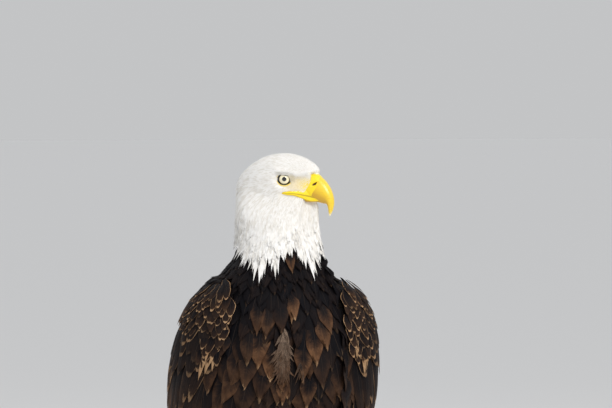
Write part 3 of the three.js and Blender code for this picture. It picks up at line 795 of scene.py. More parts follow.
lid_finish, tree, shader = finish_of("lid skin", 0.5)
place = own_place(tree)
out = attribute(tree, "out")
yellow = attribute(tree, "yellow")
bare = blend(tree, clouds(tree, place, 300.0), (0.78, 0.70, 0.46), (0.88, 0.84, 0.68))
gold = blend(tree, clouds(tree, place, 300.0), (0.84, 0.60, 0.05), (0.92, 0.74, 0.16))
colour = blend(tree, yellow, bare, gold)
colour = blend(tree, between(tree, out, 0.50, 0.36), colour, (0.010, 0.007, 0.007))
folds = put(tree, "ShaderNodeTexVoronoi", {"Vector": place, "Scale": 1500.0}).outputs["Distance"]
dress(tree, shader, colour, relief(tree, folds, 0.4, 0.0004))


def wrapped(where, target, offset=None):
    """Nearest places on a target's surface, or offset above it along its smooth normal."""
    mesh = bpy.data.meshes.new("probe")
    mesh.vertices.add(len(where))
    mesh.vertices.foreach_set("co", ((where + SHIFT) * MM).ravel())
    probe = bpy.data.objects.new("probe", mesh)
    scene.collection.objects.link(probe)
    wrap = probe.modifiers.new("wrap", "SHRINKWRAP")
    wrap.target = target
    wrap.wrap_method = "NEAREST_SURFACEPOINT"
    if offset is not None:
        wrap.wrap_mode = "ABOVE_SURFACE"
        wrap.offset = offset * MM
    graph = bpy.context.evaluated_depsgraph_get()
    result = places(probe.evaluated_get(graph).data)
    bpy.data.objects.remove(probe)
    bpy.data.meshes.remove(mesh)
    return result


for side, name in ((1, "left"), (-1, "right")):
    middle, look, fore, rise = eye_axes(side)
    # The ball, as rings round the line of sight, closest together over the iris.
    theta = (np.linspace(0.02, 1, 56) ** 1.6 * 180)[:, None]
    phi = angles(64)
    t = np.radians(theta)
    across = np.sin(t)[..., None] * (np.cos(phi)[..., None] * fore + np.sin(phi)[..., None] * rise)
    bulge = 1 + 0.035 * np.exp(-((theta / 26) ** 4))
    ball = middle + EYE_RADIUS * (bulge * np.cos(t))[..., None] * look + EYE_RADIUS * across
    eyeball = tube_mesh(f"eyeball_{name}", ball[:-1])
    give(eyeball, "gaze", np.append((theta[:-1] + 0 * phi).ravel(), [0, 180]))
    give(eyeball, "turn", np.append((np.cos(phi) + 0 * theta[:-1]).ravel(), [0, 0]))
    settle(eyeball, eye_finish, "eyeball", f"eye_{name}")

    # The lids, from inside the rim over its crest and out to the skin of the orbit.
    phi = angles(120)
    v = np.linspace(0, 1, 30)[:, None]
    corner = np.exp(-((phi - 2 * math.pi * (phi > math.pi) + 0.12) / 0.34) ** 2)
    tail_corner = np.exp(-(((phi - math.pi) / 0.4) ** 2))
    opening_f = RIM_ASIDE * np.cos(phi) + 1.5 * corner - 0.5 * tail_corner
    opening_u = np.where(np.sin(phi) > 0, RIM_UP - 0.5, RIM_UP) * signed_power(np.sin(phi), 0.95)
    opening_u = np.minimum(opening_u, BROW_LINE - BROW_SLANT * opening_f)
    inner = np.hypot(opening_f, opening_u)
    radius = inner + (LID_OUT - inner) * np.clip((v - LID_INSIDE) / (1 - LID_INSIDE), 0, 1) ** 1.15
    outward = (opening_f / inner)[..., None] * fore + (opening_u / inner)[..., None] * rise
    ball_height = np.sqrt(EYE_RADIUS**2 - inner**2)
    outer_places = middle + look * 7 + LID_OUT * outward
    edge_height = (wrapped(outer_places.reshape(-1, 3), skin) - middle) @ look
    edge_height = np.minimum(edge_height[None, :] - 0.4, LID_HIGHEST)
    crest = 1.25 * np.exp(-(((v - 0.2) / 0.16) ** 2))
    fold = 0.35 * np.sin(v * 13.0) * np.exp(-(((v - 0.6) / 0.25) ** 2))
    inside = ball_height - 1.6 * (1 - v / LID_INSIDE).clip(0)
    settle_share = smooth(v, 0.2, 1.0)
    height = inside * (1 - settle_share) + edge_height * settle_share + crest + fold
    ring = middle + height[..., None] * look + radius[..., None] * outward
    lids = tube_mesh(f"lids_{name}", ring, ends=False)
    give(lids, "out", v - 0.5 * corner * (v < 0.75) + 0 * phi)
    upper_fore = np.exp(-(((phi - 0.9) / 0.9) ** 2))
    upper_fore += np.exp(-(((phi - 2 * math.pi + 0.3) / 0.5) ** 2))
    give(lids, "yellow", (upper_fore + 0.8 + 0 * v).clip(0, 1) * (1 - smooth(v, 0.82, 1)))
    settle(lids, lid_finish, "cere_skin")

# ---------------------------------------------------------------- the white plumage
# Head and neck wear narrow white feathers: bristles of two or three millimetres beside the
# bill, small scales on the crown, and long pointed hackles that end in a ragged ruff. Each
# feather is a thin bent blade rooted in the skin, and those nearer the bill lie on top.
draw = np.random.default_rng(20)
HANG = np.array([0.0, 0.40, -0.92])  # the way feathers point on the trunk


def unit(v):
    return v / np.linalg.norm(v, axis=-1, keepdims=True)


def lie(where, normals):
    """The way feathers point: away from the bill's root on the head, downwards and back on
    the neck and trunk, always along the surface."""
    share = smooth(where[:, 2:], 612, 690)
    neck = smooth(where[:, 2:], 520, 590)
    hang = HANG * (1 - neck) + np.array([0, 0, -1.0]) * neck
    flow = hang * (1 - share) + unit(where - BILL_ROOT) * share
    return unit(flow - normals * np.sum(flow * normals, axis=1, keepdims=True))


def spaced(where, gap):
    """Indices of places about a gap apart: of all the places in a cube of the gap's size one
    stays, by lot, and again with the cubes shifted."""
    level = np.round(np.log(gap + 0 * where[:, 0]) / np.log(1.15))
    size = 1.15 ** level
    keep = draw.permutation(len(where))
    for shift in ((0, 0, 0), (0.5, 0.5, 0.5), (0.5, 0, 0.25), (0, 0.5, 0.75)):
        cells = np.column_stack([np.floor(where[keep] / size[keep, None] + shift), level[keep]])
        keep = keep[np.sort(np.unique(cells, axis=0, return_index=True)[1])]
    return keep


def scattered(thing, count, low, high):
    """Places strewn evenly over a surface between two heights: a triangle drawn by its area,
    and a point drawn in it."""
    mesh = thing.data
    mesh.calc_loop_triangles()
    corners = np.empty(3 * len(mesh.loop_triangles), int)
    mesh.loop_triangles.foreach_get("vertices", corners)
    corners = corners.reshape(-1, 3)
    at = places(mesh)
    a, b, c = (at[corners[:, k]] for k in range(3))
    area = np.linalg.norm(np.cross(b - a, c - a), axis=1) * ((a[:, 2] > low) & (a[:, 2] < high))
    corners = corners[draw.choice(len(area), count, p=area / area.sum())]
    share = draw.random((count, 2))
    share = np.where(share.sum(axis=1, keepdims=True) > 1, 1 - share, share)
    share = np.column_stack([1 - share.sum(axis=1), share])[..., None]
    return (at[corners] * share).sum(axis=1)


def course(roots, length, steps, yaw, target):
    """Midlines on a target's surface: from each root, steps along the way feathers point,
    turned by yaw, each put back on the surface; with the normals there."""
    at, line, ups = roots, [], []
    stride = (length / (steps - 1))[:, None]
    for _ in range(steps):
        foot = wrapped(at, target)
        up = unit(wrapped(at, target, 1.0) - foot)
        way = lie(foot, up)
        way = way * np.cos(yaw)[:, None] + np.cross(up, way) * np.sin(yaw)[:, None]
        line.append(foot)
        ups.append(up)
        at = foot + way * stride
    return np.stack(line, axis=1), np.stack(ups, axis=1)


def raised(line, ups, low, high, bow=0.0, rise=0.8):
    """Lifts midlines off the surface: low + (high - low) s^rise + bow sin(pi s), from the root
    to the tip."""
    s = np.linspace(0, 1, line.shape[1])[None, :]
    low, high, bow = (np.reshape(v, (-1, 1)) for v in (low, high, bow))
    lift = low + (high - low) * s ** rise + bow * np.sin(math.pi * s)
    return line + ups * lift[..., None]


def vane_points(line, ups, half, rows, columns, blunt, swell, fray, cup, roll, point):
    """Places of the vanes and their two coordinates: u across from -1 to 1 and s along. The
    half width at s is half (0.3 + 0.7 min(1, s / swell)) (blunt + (1 - blunt) (1 - s^p)^q);
    the columns end at different shares of the length, cup u^2 bends the sides down and
    roll u tips the vane."""
    count, steps, _ = line.shape
    s = np.linspace(0, 1, rows + 1)[None, :, None]
    u = np.linspace(-1, 1, columns)[None, None, :]
    notch = 0.35 + 0.65 * (np.arange(columns) % 2 == 0)
    ends = 1 - fray * draw.random((count, 1, columns)) * notch - 0.10 * u ** 2
    reach = s * ends * (steps - 1)
    k = np.minimum(reach.astype(int), steps - 2)
    t = (reach - k)[..., None]
    n = np.arange(count)[:, None, None]
    way = np.gradient(line, axis=1)
    middle, up, way = (v[n, k] * (1 - t) + v[n, k + 1] * t for v in (line, ups, way))
    across = unit(np.cross(up, way))
    taper = blunt + (1 - blunt) * (1 - s ** point[0]).clip(0) ** point[1]
    width = half[:, None, None] * (0.3 + 0.7 * np.minimum(1, s / swell)) * taper
    drop = (cup * u ** 2 + np.reshape(roll, (-1, 1, 1)) * u) * width
    points = middle + across * (width * u)[..., None] - up * drop[..., None]
    return points, np.broadcast_to(u, reach.shape), np.broadcast_to(s, reach.shape), up


BAKE_PATCH = 0.003
# The axis and height about which the skin is unrolled under each kind of plumage:
HEAD_POLE, TRUNK_POLE = (NECK_Y, 640.0), (20.0, 330.0)  # y and height
WING_POLE, TAIL_POLE = (60.0, 330.0), (150.0, 300.0)


def unrolled(where, pole):
    """The skin unrolled round an upright axis: azimuth, and height or, round a pole, the
    angle from straight up; both from 0.02 to 0.98."""
    off = where - [0, pole[0], pole[1]]
    turn = np.arctan2(off[:, 0], -off[:, 1])
    tall = np.arctan2(np.hypot(off[:, 0], off[:, 1]), off[:, 2])
    flat = np.stack([turn, tall], axis=1)
    low, high = flat.min(axis=0), flat.max(axis=0)
    return 0.02 + 0.96 * (flat - low) / (high - low + 1e-9)


def plumage(name, line, ups, half, finish, slot, marks, nodes=(), rows=5, columns=5, blunt=0.1,
            swell=0.35, fray=0.1, cup=0.3, roll=0.0, pole=HEAD_POLE, calm=0.0,
            point=(2.4, 0.8)):
    """One piece of joined feathers, with its vane coordinates, its marks and its bake map.
    Its shading leans towards the skin's own normals by the share calm, as soft plumage's."""
    points, u, s, up = vane_points(line, ups, half, rows, columns, blunt, swell, fray, cup, roll, point)
    count = len(points)
    i, j = np.meshgrid(np.arange(rows), np.arange(columns - 1), indexing="ij")
    corner = i * columns + j
    quads = np.stack([corner, corner + columns, corner + columns + 1, corner + 1], axis=-1)
    per = (rows + 1) * columns
    quads = (quads.reshape(1, -1, 4) + per * np.arange(count)[:, None, None]).reshape(-1, 4)
    mesh = bpy.data.meshes.new(name)
    mesh.from_pydata(((points.reshape(-1, 3) + SHIFT) * MM).tolist(), [], quads.tolist())
    mesh.shade_smooth()
    if calm:
        leaning = unit(facing(mesh) * (1 - calm) + up.reshape(-1, 3) * calm)
        mesh.normals_split_custom_set_from_vertices(leaning.tolist())
    thing = bpy.data.objects.new(name, mesh)
    scene.collection.objects.link(thing)
    vane = np.stack([0.5 + 0.5 * u, s], axis=-1)
    root = unrolled(line[:, 0], pole)[:, None, None, :]
    for layer, map_points in (("vane", vane), ("OFBake", root + vane * BAKE_PATCH)):
        corners = map_points.reshape(-1, 2)[quads.ravel()].ravel()
        mesh.uv_layers.new(name=layer).data.foreach_set("uv", corners)
    for mark, values in marks.items():
        give(thing, mark, np.repeat(values, per))
    settle(thing, finish, slot, *nodes)


def barbs(tree):
    """The fine slanting barbs of a vane and its shaft, as a group that puts out the height
    of both and how far across and along the vane a point is."""
    if "barbs" not in bpy.data.node_groups:
        group = bpy.data.node_groups.new("barbs", "ShaderNodeTree")
        group.interface.new_socket("Vane", in_out="INPUT", socket_type="NodeSocketVector")
        for name in ("Count", "Shaft"):
            group.interface.new_socket(name, in_out="INPUT", socket_type="NodeSocketFloat")
        for output in ("Height", "Across", "Along", "Shaft", "Slant"):
            group.interface.new_socket(output, in_out="OUTPUT", socket_type="NodeSocketFloat")
        source = group.nodes.new("NodeGroupInput")
        sink = group.nodes.new("NodeGroupOutput")
        split = put(group, "ShaderNodeSeparateXYZ", {0: source.outputs["Vane"]})
        across = calc(group, "ABSOLUTE", calc(group, "SUBTRACT", split.outputs[0], 0.5))
        across = times(group, across, 2.0)
        along = split.outputs[1]
        slant = calc(group, "SUBTRACT", along, times(group, across, 0.22))
        wave = calc(group, "SINE", times(group, slant, source.outputs["Count"]))
        shaft = between(group, across, source.outputs["Shaft"], 0.0)
        height = plus(group, times(group, wave, 0.25), shaft)
        for output, value in zip(sink.inputs, (height, across, along, shaft, slant)):
            group.links.new(value, output)
    made = tree.nodes.new("ShaderNodeGroup")
    made.node_tree = bpy.data.node_groups["barbs"]
    tree.links.new(put(tree, "ShaderNodeUVMap", uv_map="vane").outputs[0], made.inputs["Vane"])
    return made


def plume_finish(name, roughness, count, shaft, sheen=0.0):
    """A feather material's tree with its barbs in relief; returns the sockets to colour by."""
    finish, tree, shader = finish_of(name, roughness, Sheen_Weight=sheen, Specular_IOR_Level=0.12)
    vane = barbs(tree)
    vane.inputs["Count"].default_value = count
    vane.inputs["Shaft"].default_value = shaft
    tree.links.new(relief(tree, vane.outputs["Height"], 0.5, 0.0005), shader.inputs["Normal"])
    return finish, tree, shader, vane.outputs


white_finish, tree, shader, vane = plume_finish("white feathers", 0.7, 90.0, 0.08, 0.2)
chance = attribute(tree, "chance")
colour = blend(tree, between(tree, chance, 0.0, 0.7), (0.79, 0.765, 0.715), (0.925, 0.915, 0.895))
root_shade = between(tree, vane["Along"], 0.6, 0.05)
colour = blend(tree, times(tree, root_shade, 0.35), colour, (0.78, 0.74, 0.67))
colour = blend(tree, attribute(tree, "lore"), colour, (0.88, 0.80, 0.60))
tree.links.new(colour, shader.inputs["Base Color"])
# Thin white vanes let light through, most of all where they are seen from underneath.
shone_through = put(tree, "ShaderNodeBsdfTranslucent", {"Color": colour})
under = put(tree, "ShaderNodeNewGeometry").outputs["Backfacing"]
share = plus(tree, times(tree, under, 0.6), 0.12)
both = put(tree, "ShaderNodeMixShader", {0: share, 1: shader.outputs[0], 2: shone_through.outputs[0]})
tree.links.new(both.outputs[0], tree.nodes["Material Output"].inputs["Surface"])

# The ruff's feathers gather into pointed locks, which hang lowest on both sides of the breast
# and part between them. azimuth of a lock in degrees, height of its tip
LOCKS = [(-79, 588), (-68, 580), (-56, 571), (-41, 560), (-32, 557), (-17, 568), (-5, 585), (4, 590),
         (12, 599), (21, 582), (33, 564), (43, 571), (53, 580), (63, 577), (76, 592)]
LOCKS += [(a, 598 + 4 * math.sin(a)) for a in range(88, 276, 12)]
LOCK_TAPER = 24.0  # how much higher than its middle a lock ends at its sides
LOCK_HALF = 6.5  # half of a lock's width, in degrees
lock_turn, lock_tip = np.array(LOCKS, float).T


def lock_edge(a):
    """Height where the ruff ends at each azimuth, and how far aside of its lock's middle that
    is, in degrees: tip + taper (off / half)^1.3."""
    off = (a[:, None] - lock_turn + 180) % 360 - 180
    nearest = np.argmin(np.abs(off), axis=1)
    off = off[np.arange(len(a)), nearest]
    return lock_tip[nearest] + LOCK_TAPER * np.minimum(1.4, np.abs(off) / LOCK_HALF) ** 1.3, off


# Roots: strewn over the outline, apart from the bare places round the eyes, along the gape
# and under the cere. A feather's length grows with the square of its distance from the
# bill's root, and the gaps between feathers grow with their lengths.
STREWN = 420000
BARE_ROUND_EYE, BARE_AT_GAPE = 10.4, 4.4
SHORTEST, LENGTHENING = 2.9, 0.0016
CROWDING = 0.185  # gap between feathers that are 1 mm long
at = scattered(outline, STREWN, WHITE_EDGE - 8, 740)
ahead, left, up = in_head(at)
half = folded(ahead, left, up)
brow_edge = 697.4 - 0.14 * (ahead - 10)
from_eye = np.linalg.norm((half - EYE_SPOT) * [1, 0.7, 1.1], axis=1)
gape_line = np.array([[17, 28, 673.0], [31, 22.5, 673], [45, 14, 671]])
bare = (from_eye < BARE_ROUND_EYE) & (up < brow_edge) | (near_path(gape_line, half) < BARE_AT_GAPE)
bare |= (ahead > cere_root(up) + 0.5) & (up < 699.5) & (up > 659)
bare |= (ahead > 44) & (up < 672) & (up > 663) & (np.abs(left) > 9)
at = at[(up > WHITE_EDGE - 6 * (at[:, 1] > 0)) & ~bare]
far = np.linalg.norm(at - BILL_ROOT, axis=1)
length = SHORTEST + LENGTHENING * far ** 2
chosen = spaced(at, CROWDING * length ** 0.95 * (1 - 0.18 * smooth(far, 80, 120)))
at, far, length = at[chosen], far[chosen], length[chosen]
ahead, left, up = in_head(at)
on_lore = np.exp(-((near_path(LORE, folded(ahead, left, up)) / 9.0) ** 4))
kept = draw.random(len(at)) > 0.72 * on_lore  # the lores are nearly bare
at, far, length, on_lore = at[kept], far[kept], length[kept], on_lore[kept]
length *= draw.uniform(0.75, 1.25, len(at))
# The lowest feathers are cut short, or left out, where the ruff's edge leaves them no room.
room = 0.92 * (at[:, 2] - lock_edge(np.degrees(np.arctan2(at[:, 0], NECK_Y - at[:, 1])))[0]) - 2
kept = room > 0.35 * length
at, far, length, on_lore = at[kept], far[kept], np.minimum(length, room)[kept], on_lore[kept]
half = 0.155 * length ** 0.88 * (1 - 0.3 * on_lore) * (1 - 0.12 * smooth(far, 80, 120))
yaw = draw.normal(0, 0.08 - 0.03 * smooth(far, 70, 110) + 0.16 * on_lore, len(at))
line, ups = course(at, length, 6, yaw, outline)
tip = draw.normal(0.03, 0.04, len(at)) * (0.6 + far / 60)
line = raised(line, ups, -0.45 * coat_depth(at), tip, 0.006 * length, 0.55)
chance = draw.random(len(at))
for name, low, high, rows, columns in (
    ("face_feathers", 0, 46, 3, 3), ("crown_feathers", 46, 92, 5, 3),
    ("neck_feathers", 92, 400, 7, 5),
):
    part = (far >= low) & (far < high)
    plumage(name, line[part], ups[part], half[part], white_finish, "white_feathers",
            {"chance": chance[part], "lore": on_lore[part]}, rows=rows, columns=columns, fray=0.16,
            blunt=0.12, cup=0.16, calm=0.8)

# The ruff: rings of long hackles round the foot of the neck, turned towards their locks.
# Each ring has a height, a length that it stops short of its lock's tip, and a count.
NECK_HALF, NECK_REACH = 58, 60  # about the neck's size at its foot, aside and fore and aft
SHORTEST_HACKLE = 12
GATHER = 0.72  # share of the way aside to its lock's middle that a hackle is turned
ROOT_DEPTH = 4.5  # long feathers are rooted this deep under the outline
hackles = []
for ring, (height, over, how_many) in enumerate(
    ((644, 30, 110), (637, 22, 120), (630, 14, 126), (623, 7, 126), (616, 0, 126))
):
    a = (np.arange(how_many) + 0.5 * (ring % 2)) / how_many * 360 - 180
    a += draw.normal(0, 1.2, how_many)
    tips, off = lock_edge(a)
    stretch = height - tips - over + draw.normal(0, 1.6, how_many)
    heights = height + draw.normal(0, 3, how_many)
    hackles.append(np.stack([np.radians(a), heights, stretch, np.radians(off)], axis=1))
turn, height, stretch, off = np.vstack(hackles).T
stretch = stretch.clip(SHORTEST_HACKLE)
roots = np.stack([NECK_HALF * np.sin(turn), NECK_Y - NECK_REACH * np.cos(turn), height], axis=1)
yaw = np.arctan(GATHER * NECK_REACH * off / stretch) + draw.normal(0, 0.03, len(roots))
line, ups = course(roots, stretch * 1.03, 10, yaw, outline)
line = raised(line, ups, -ROOT_DEPTH, draw.normal(0.9, 0.35, len(roots)), 0.5)
plumage("ruff_feathers", line, ups, draw.uniform(3.2, 5.0, len(roots)), white_finish, "white_feathers",
        {"chance": draw.random(len(roots)), "lore": 0 * turn}, rows=14, columns=7, fray=0.10, blunt=0.03,
        cup=0.16, swell=0.25, calm=0.75, point=(2.2, 0.95))

# ---------------------------------------------------------------- the dark plumage of the trunk
# Breast, belly, back and thighs are covered by broad lance-shaped feathers: blackish at
# the heart, brown towards the edge, some with a worn buff tip. They overlap like tiles.
DEEP = (0.0035, 0.0035, 0.0050)
DARK = (0.0105, 0.0080, 0.0080)
WARM = (0.145, 0.072, 0.036)
BUFF = (0.46, 0.30, 0.17)


def brown_finish(name, count, shaft, rim_from, side_rim):
    """Brown plumage: the marks warm, rim, pale and chance say how brown a feather is, how
    light its worn rim is, whether it is downy, and how its ground differs from the next
    one's. The rim starts at a share of the vane and may run up its sides."""
    finish, tree, shader, vane = plume_finish(name, 0.6, count, shaft)
    shader.inputs["Specular IOR Level"].default_value = 0.05
    chance, warm, rim = (attribute(tree, mark) for mark in ("chance", "warm", "rim"))
    place = own_place(tree)
    strands = put(tree, "ShaderNodeCombineXYZ", {
        "X": times(tree, vane["Slant"], 26.0),
        "Y": times(tree, vane["Across"], 1.6),
        "Z": times(tree, chance, 90.0)}).outputs[0]
    streak = calc(tree, "SUBTRACT", clouds(tree, strands, 1.0, 4.0), 0.5)
    edge = times(tree, vane["Across"], 0.35)
    edge = plus(tree, edge, between(tree, vane["Along"], 0.2, 1.1))
    edge = plus(tree, edge, times(tree, streak, 0.7))
    ground = blend(tree, chance, DEEP, DARK)
    brown = blend(tree, between(tree, clouds(tree, place, 90.0), 0.3, 0.7), (0.070, 0.033, 0.017), WARM)
    share = times(tree, between(tree, edge, 0.1, 1.0), warm)
    colour = blend(tree, share, ground, brown)
    outer = calc(tree, "MAXIMUM", times(tree, vane["Across"], side_rim), vane["Along"])
    outer = plus(tree, outer, times(tree, streak, 0.16))
    rim_share = times(tree, between(tree, outer, rim_from, rim_from + 0.07), rim)
    buff = blend(tree, clouds(tree, place, 75.0), (0.27, 0.14, 0.065), BUFF)
    colour = blend(tree, rim_share, colour, buff)
    colour = blend(tree, times(tree, vane["Shaft"], 0.5), colour, (0.045, 0.03, 0.022))
    down = blend(tree, between(tree, streak, -0.2, 0.2), (0.070, 0.048, 0.036), (0.30, 0.215, 0.155))
    colour = blend(tree, attribute(tree, "pale"), colour, down)
    tree.links.new(colour, shader.inputs["Base Color"])
    return finish


brown_body = brown_finish("brown feathers", 150.0, 0.05, 0.90, 0.86)
torso_rows = through(TORSO, 6)
wing_edge = wing_face(arm_rows, np.zeros((1, 1)))[:, 0]


def rows_at(table, height):
    """A table's rows at any heights."""
    return np.stack([np.interp(height, table[:, 0], column) for column in table.T], axis=-1)


# Roots: the outline's own vertices on the trunk and thighs, thinned out. Where the wings
# lie over the trunk it is bare, and beside their front edges the feathers lie lower.
VENT_HEIGHT = 200
at = places(outline.data)
x, y, z = at.T
_, middle, half, ahead, behind, _, _ = rows_at(torso_rows, z).T
reach = np.where(y < middle, ahead, behind)
within = np.abs(x / half) ** BODY_POWER + np.abs((y - middle) / reach) ** BODY_POWER
on_trunk = (within < 1.10) & (z > VENT_HEIGHT)
on_thigh = ~on_trunk & (z < ARM_LOW - 12)
under_wing = (np.abs(x) > 102) & (y > 0) & (z < 400)
rooted = on_trunk & (z < WHITE_EDGE + 16) & ~under_wing | on_thigh
at, on_thigh, z = at[rooted], on_thigh[rooted], z[rooted]
length = 25 + 11 * smooth(z, 600, 560) + 32 * smooth(z, 580, 480)  # longest low on the breast
length = np.where(on_thigh, 24 + 18 * smooth(z, 90, 300), length)
chosen = spaced(at, 0.25 * length)
at, on_thigh, length = at[chosen], on_thigh[chosen], length[chosen]
x, y, z = at.T
length *= draw.uniform(0.82, 1.2, len(at))
line, ups = course(at, length, 8, draw.normal(0, 0.13, len(at)), outline)
beside = np.minimum(near_path(wing_edge, at), near_path(wing_edge * [-1, 1, 1], at))
beside = smooth(beside, 26, 6) * (y < 0)
lift = draw.normal(0.3, 0.7, len(at)) * (1 - 0.75 * smooth(z, 530, 565)) - 4.5 * beside
lift -= 1.6 * smooth(np.abs(x), 45, 70) * smooth(z, 530, 555) + 2.2 * smooth(z, 588, 604)
line = raised(line, ups, -6.5 - 2 * beside, lift, 0.9 * (1 - beside))
half = length * draw.uniform(0.24, 0.31, len(at))
low = 1 - smooth(z, 420, 560)  # 0 on the nape and shoulders, which stay dark, 1 below them
front = y < -20 * low
browned = 0.06 + 0.94 * low * (0.35 + 0.65 * smooth(z, 425, 470))
marks = {
    "chance": draw.random(len(at)) * (0.35 + 0.65 * low),
    "warm": browned * draw.random(len(at)) ** 1.25,
    "rim": draw.random(len(at)) ** 3.0 * (0.12 + 0.45 * low),
    "pale": 0 * low,
}
for name, part in (
    ("breast_feathers", front & ~on_thigh), ("back_feathers", ~front & ~on_thigh),
    ("thigh_feathers", on_thigh),
):
    plumage(name, line[part], ups[part], half[part], brown_body, "brown_feathers",
            {mark: values[part] for mark, values in marks.items()}, rows=10, columns=9,
            fray=0.20, blunt=0.10, cup=0.2, swell=0.5, point=(2.8, 0.75),
            roll=draw.normal(0, 0.06, part.sum()), pole=TRUNK_POLE)

# Broad worn feathers that lie uppermost on the breast, some wholly brown with a light point.
# Their roots are sought on the breast from a plane far ahead of it.
# tip aside and height, length, half width, warmth, worn rim
LAID = np.array([
    [10, 574, 34, 8, 0.85, 0.25],
    [17, 527, 52, 12, 1.0, 0.8],
    [31, 522, 50, 12, 0.95, 0.9],
    [-43, 510, 52, 14, 0.55, 0.3],
    [-20, 516, 48, 13, 0.2, 0.1],
    [-60, 465, 66, 18, 0.95, 0.5],
    [-31, 440, 66, 17, 1.0, 0.95],
    [22, 440, 62, 16, 0.9, 0.8],
    [42, 468, 60, 15, 0.95, 0.75],
    [62, 492, 56, 15, 0.9, 0.5],
    [70, 520, 50, 13, 0.75, 0.2],
    [-72, 520, 54, 13, 0.6, 0.1],
    [-84, 470, 58, 15, 0.35, 0.5],
    [-82, 430, 60, 16, 0.45, 0.7],
    [-50, 408, 62, 16, 0.35, 0.4],
    [56, 430, 62, 16, 0.25, 0.2],
    [-10, 406, 40, 11, 0.9, 0.9],
    [2, 399, 44, 11, 0.95, 0.9],
    [11, 424, 36, 9, 0.85, 0.6],
    [-26, 398, 46, 12, 0.6, 0.6],
    [34, 392, 56, 15, 0.7, 0.6],
])
AHEAD_OF_BREAST = -170.0
tip_x, tip_z, length, half, warm, rim = LAID.T
over = np.stack([0.96 * tip_x, AHEAD_OF_BREAST + 0 * tip_x, tip_z + 0.95 * length], axis=1)
line, ups = course(over, length, 9, draw.normal(0, 0.05, len(LAID)), outline)
line = raised(line, ups, -ROOT_DEPTH, draw.normal(2.2, 0.4, len(LAID)), 2.0)
plumage("breast_overlay", line, ups, half, brown_body, "brown_feathers",
        {"chance": draw.random(len(LAID)), "warm": warm, "rim": rim, "pale": 0 * warm},
        rows=18, columns=13, fray=0.17, blunt=0.05, cup=0.16, swell=0.6, pole=TRUNK_POLE,
        point=(2.6, 0.85))

# Down: loose grey-brown plumes show where the breast feathers part in the middle. The patch
# widens from its top, where drop is 0, to its foot, where it is 1.
DOWN_PLUMES = 260
DOWN_TOP, DOWN_TALL = 506, 56
drop = draw.random(DOWN_PLUMES) ** 0.75
over = np.stack([draw.uniform(-1, 1, DOWN_PLUMES) * (1.0 + 17 * drop) - 1,
                 AHEAD_OF_BREAST + 0 * drop, DOWN_TOP - DOWN_TALL * drop], axis=1)
length = draw.uniform(18, 30, DOWN_PLUMES)
line, ups = course(over, length, 7, draw.normal(0, 0.32, DOWN_PLUMES), outline)
line = raised(line, ups, 0.6, draw.normal(4.2, 0.8, DOWN_PLUMES), 2.4)
plumage("breast_down", line, ups, draw.uniform(1.2, 2.6, DOWN_PLUMES), brown_body, "brown_feathers",
        {"chance": draw.random(DOWN_PLUMES), "warm": 0.35 + 0.5 * drop, "rim": 0 * drop,
         "pale": draw.uniform(0.35, 1.0, DOWN_PLUMES) * (0.95 - 0.8 * drop)},
        rows=8, columns=7, fray=0.35, blunt=0.10, cup=0.25, swell=0.4, calm=0.5, pole=TRUNK_POLE)

# The vent: loose plumes hang from the belly's end, where the tail begins behind it. They
# fall away a little at first and then turn in under the belly.
VENT_PLUMES = 110
turn = draw.uniform(-math.pi, math.pi, VENT_PLUMES)
level = draw.uniform(212, 240, VENT_PLUMES)
_, middle, half, ahead, behind, _, _ = rows_at(torso_rows, level).T
out = np.stack([np.sin(turn), -np.cos(turn), 0 * turn], axis=1)
reach = np.where(out[:, 1] < 0, ahead, behind)
rim_at = np.stack([half * out[:, 0], middle + reach * out[:, 1], level], axis=1) - 4.0 * out
length = draw.uniform(44, 66, VENT_PLUMES)
s = np.linspace(0, 1, 8)[None, :, None]
line = rim_at[:, None, :] + length[:, None, None] * unit(np.array([0, 0.34, -0.94])) * s
line = line + out[:, None, :] * (7.0 * np.sin(math.pi * s * 0.8) - 14.0 * s ** 2)
ups = np.broadcast_to(out[:, None, :], line.shape)
half = length * draw.uniform(0.15, 0.22, VENT_PLUMES)
plumage("vent_feathers", line, ups, half, brown_body, "brown_feathers",
        {"chance": draw.random(VENT_PLUMES), "warm": draw.uniform(0.1, 0.6, VENT_PLUMES),
         "rim": 0 * turn, "pale": 0 * turn},
        rows=9, columns=7, fray=0.25, blunt=0.12, cup=0.2, swell=0.45, pole=TRUNK_POLE)

# ---------------------------------------------------------------- the wings
# A folded wing is a stack of feathers that slide over each other: scaly small coverts at
# the wrist, rows of longer coverts, the secondaries and tertials, and the primaries below.
wing_rows = through(WING, 12)


def wing_place(side, across, z):
    """Places and outward normals on the outside of a folded wing: across from its front edge
    to its back edge, at heights z. The normal is dP/dt x dP/dz."""

    def face(t, height):
        rows = rows_at(wing_rows, height).reshape(-1, wing_rows.shape[1])
        return wing_face(rows, t.reshape(-1, 1)).reshape(*t.shape, 3)

    t = across.clip(0.005, 0.995)
    along = face(t + 0.004, z) - face(t - 0.004, z)
    upward = face(t, z + 2) - face(t, z - 2)
    return face(t, z) * [side, 1, 1], unit(np.cross(along, upward)) * [side, 1, 1]


WING_SLANT = 0.93  # how far feathers come down a wing for each millimetre of their length


def wing_course(side, across, drift, top, length, steps):
    """Midlines down a wing: from (across, top), running down its length while across changes
    by drift, at an even pace."""
    s = np.linspace(0, 1, steps)[None, :]
    t = across[:, None] + drift[:, None] * s
    z = top[:, None] - WING_SLANT * length[:, None] * s
    return wing_place(side, t, z)


def between_edges(edges, share):
    return edges[0] + (edges[1] - edges[0]) * share


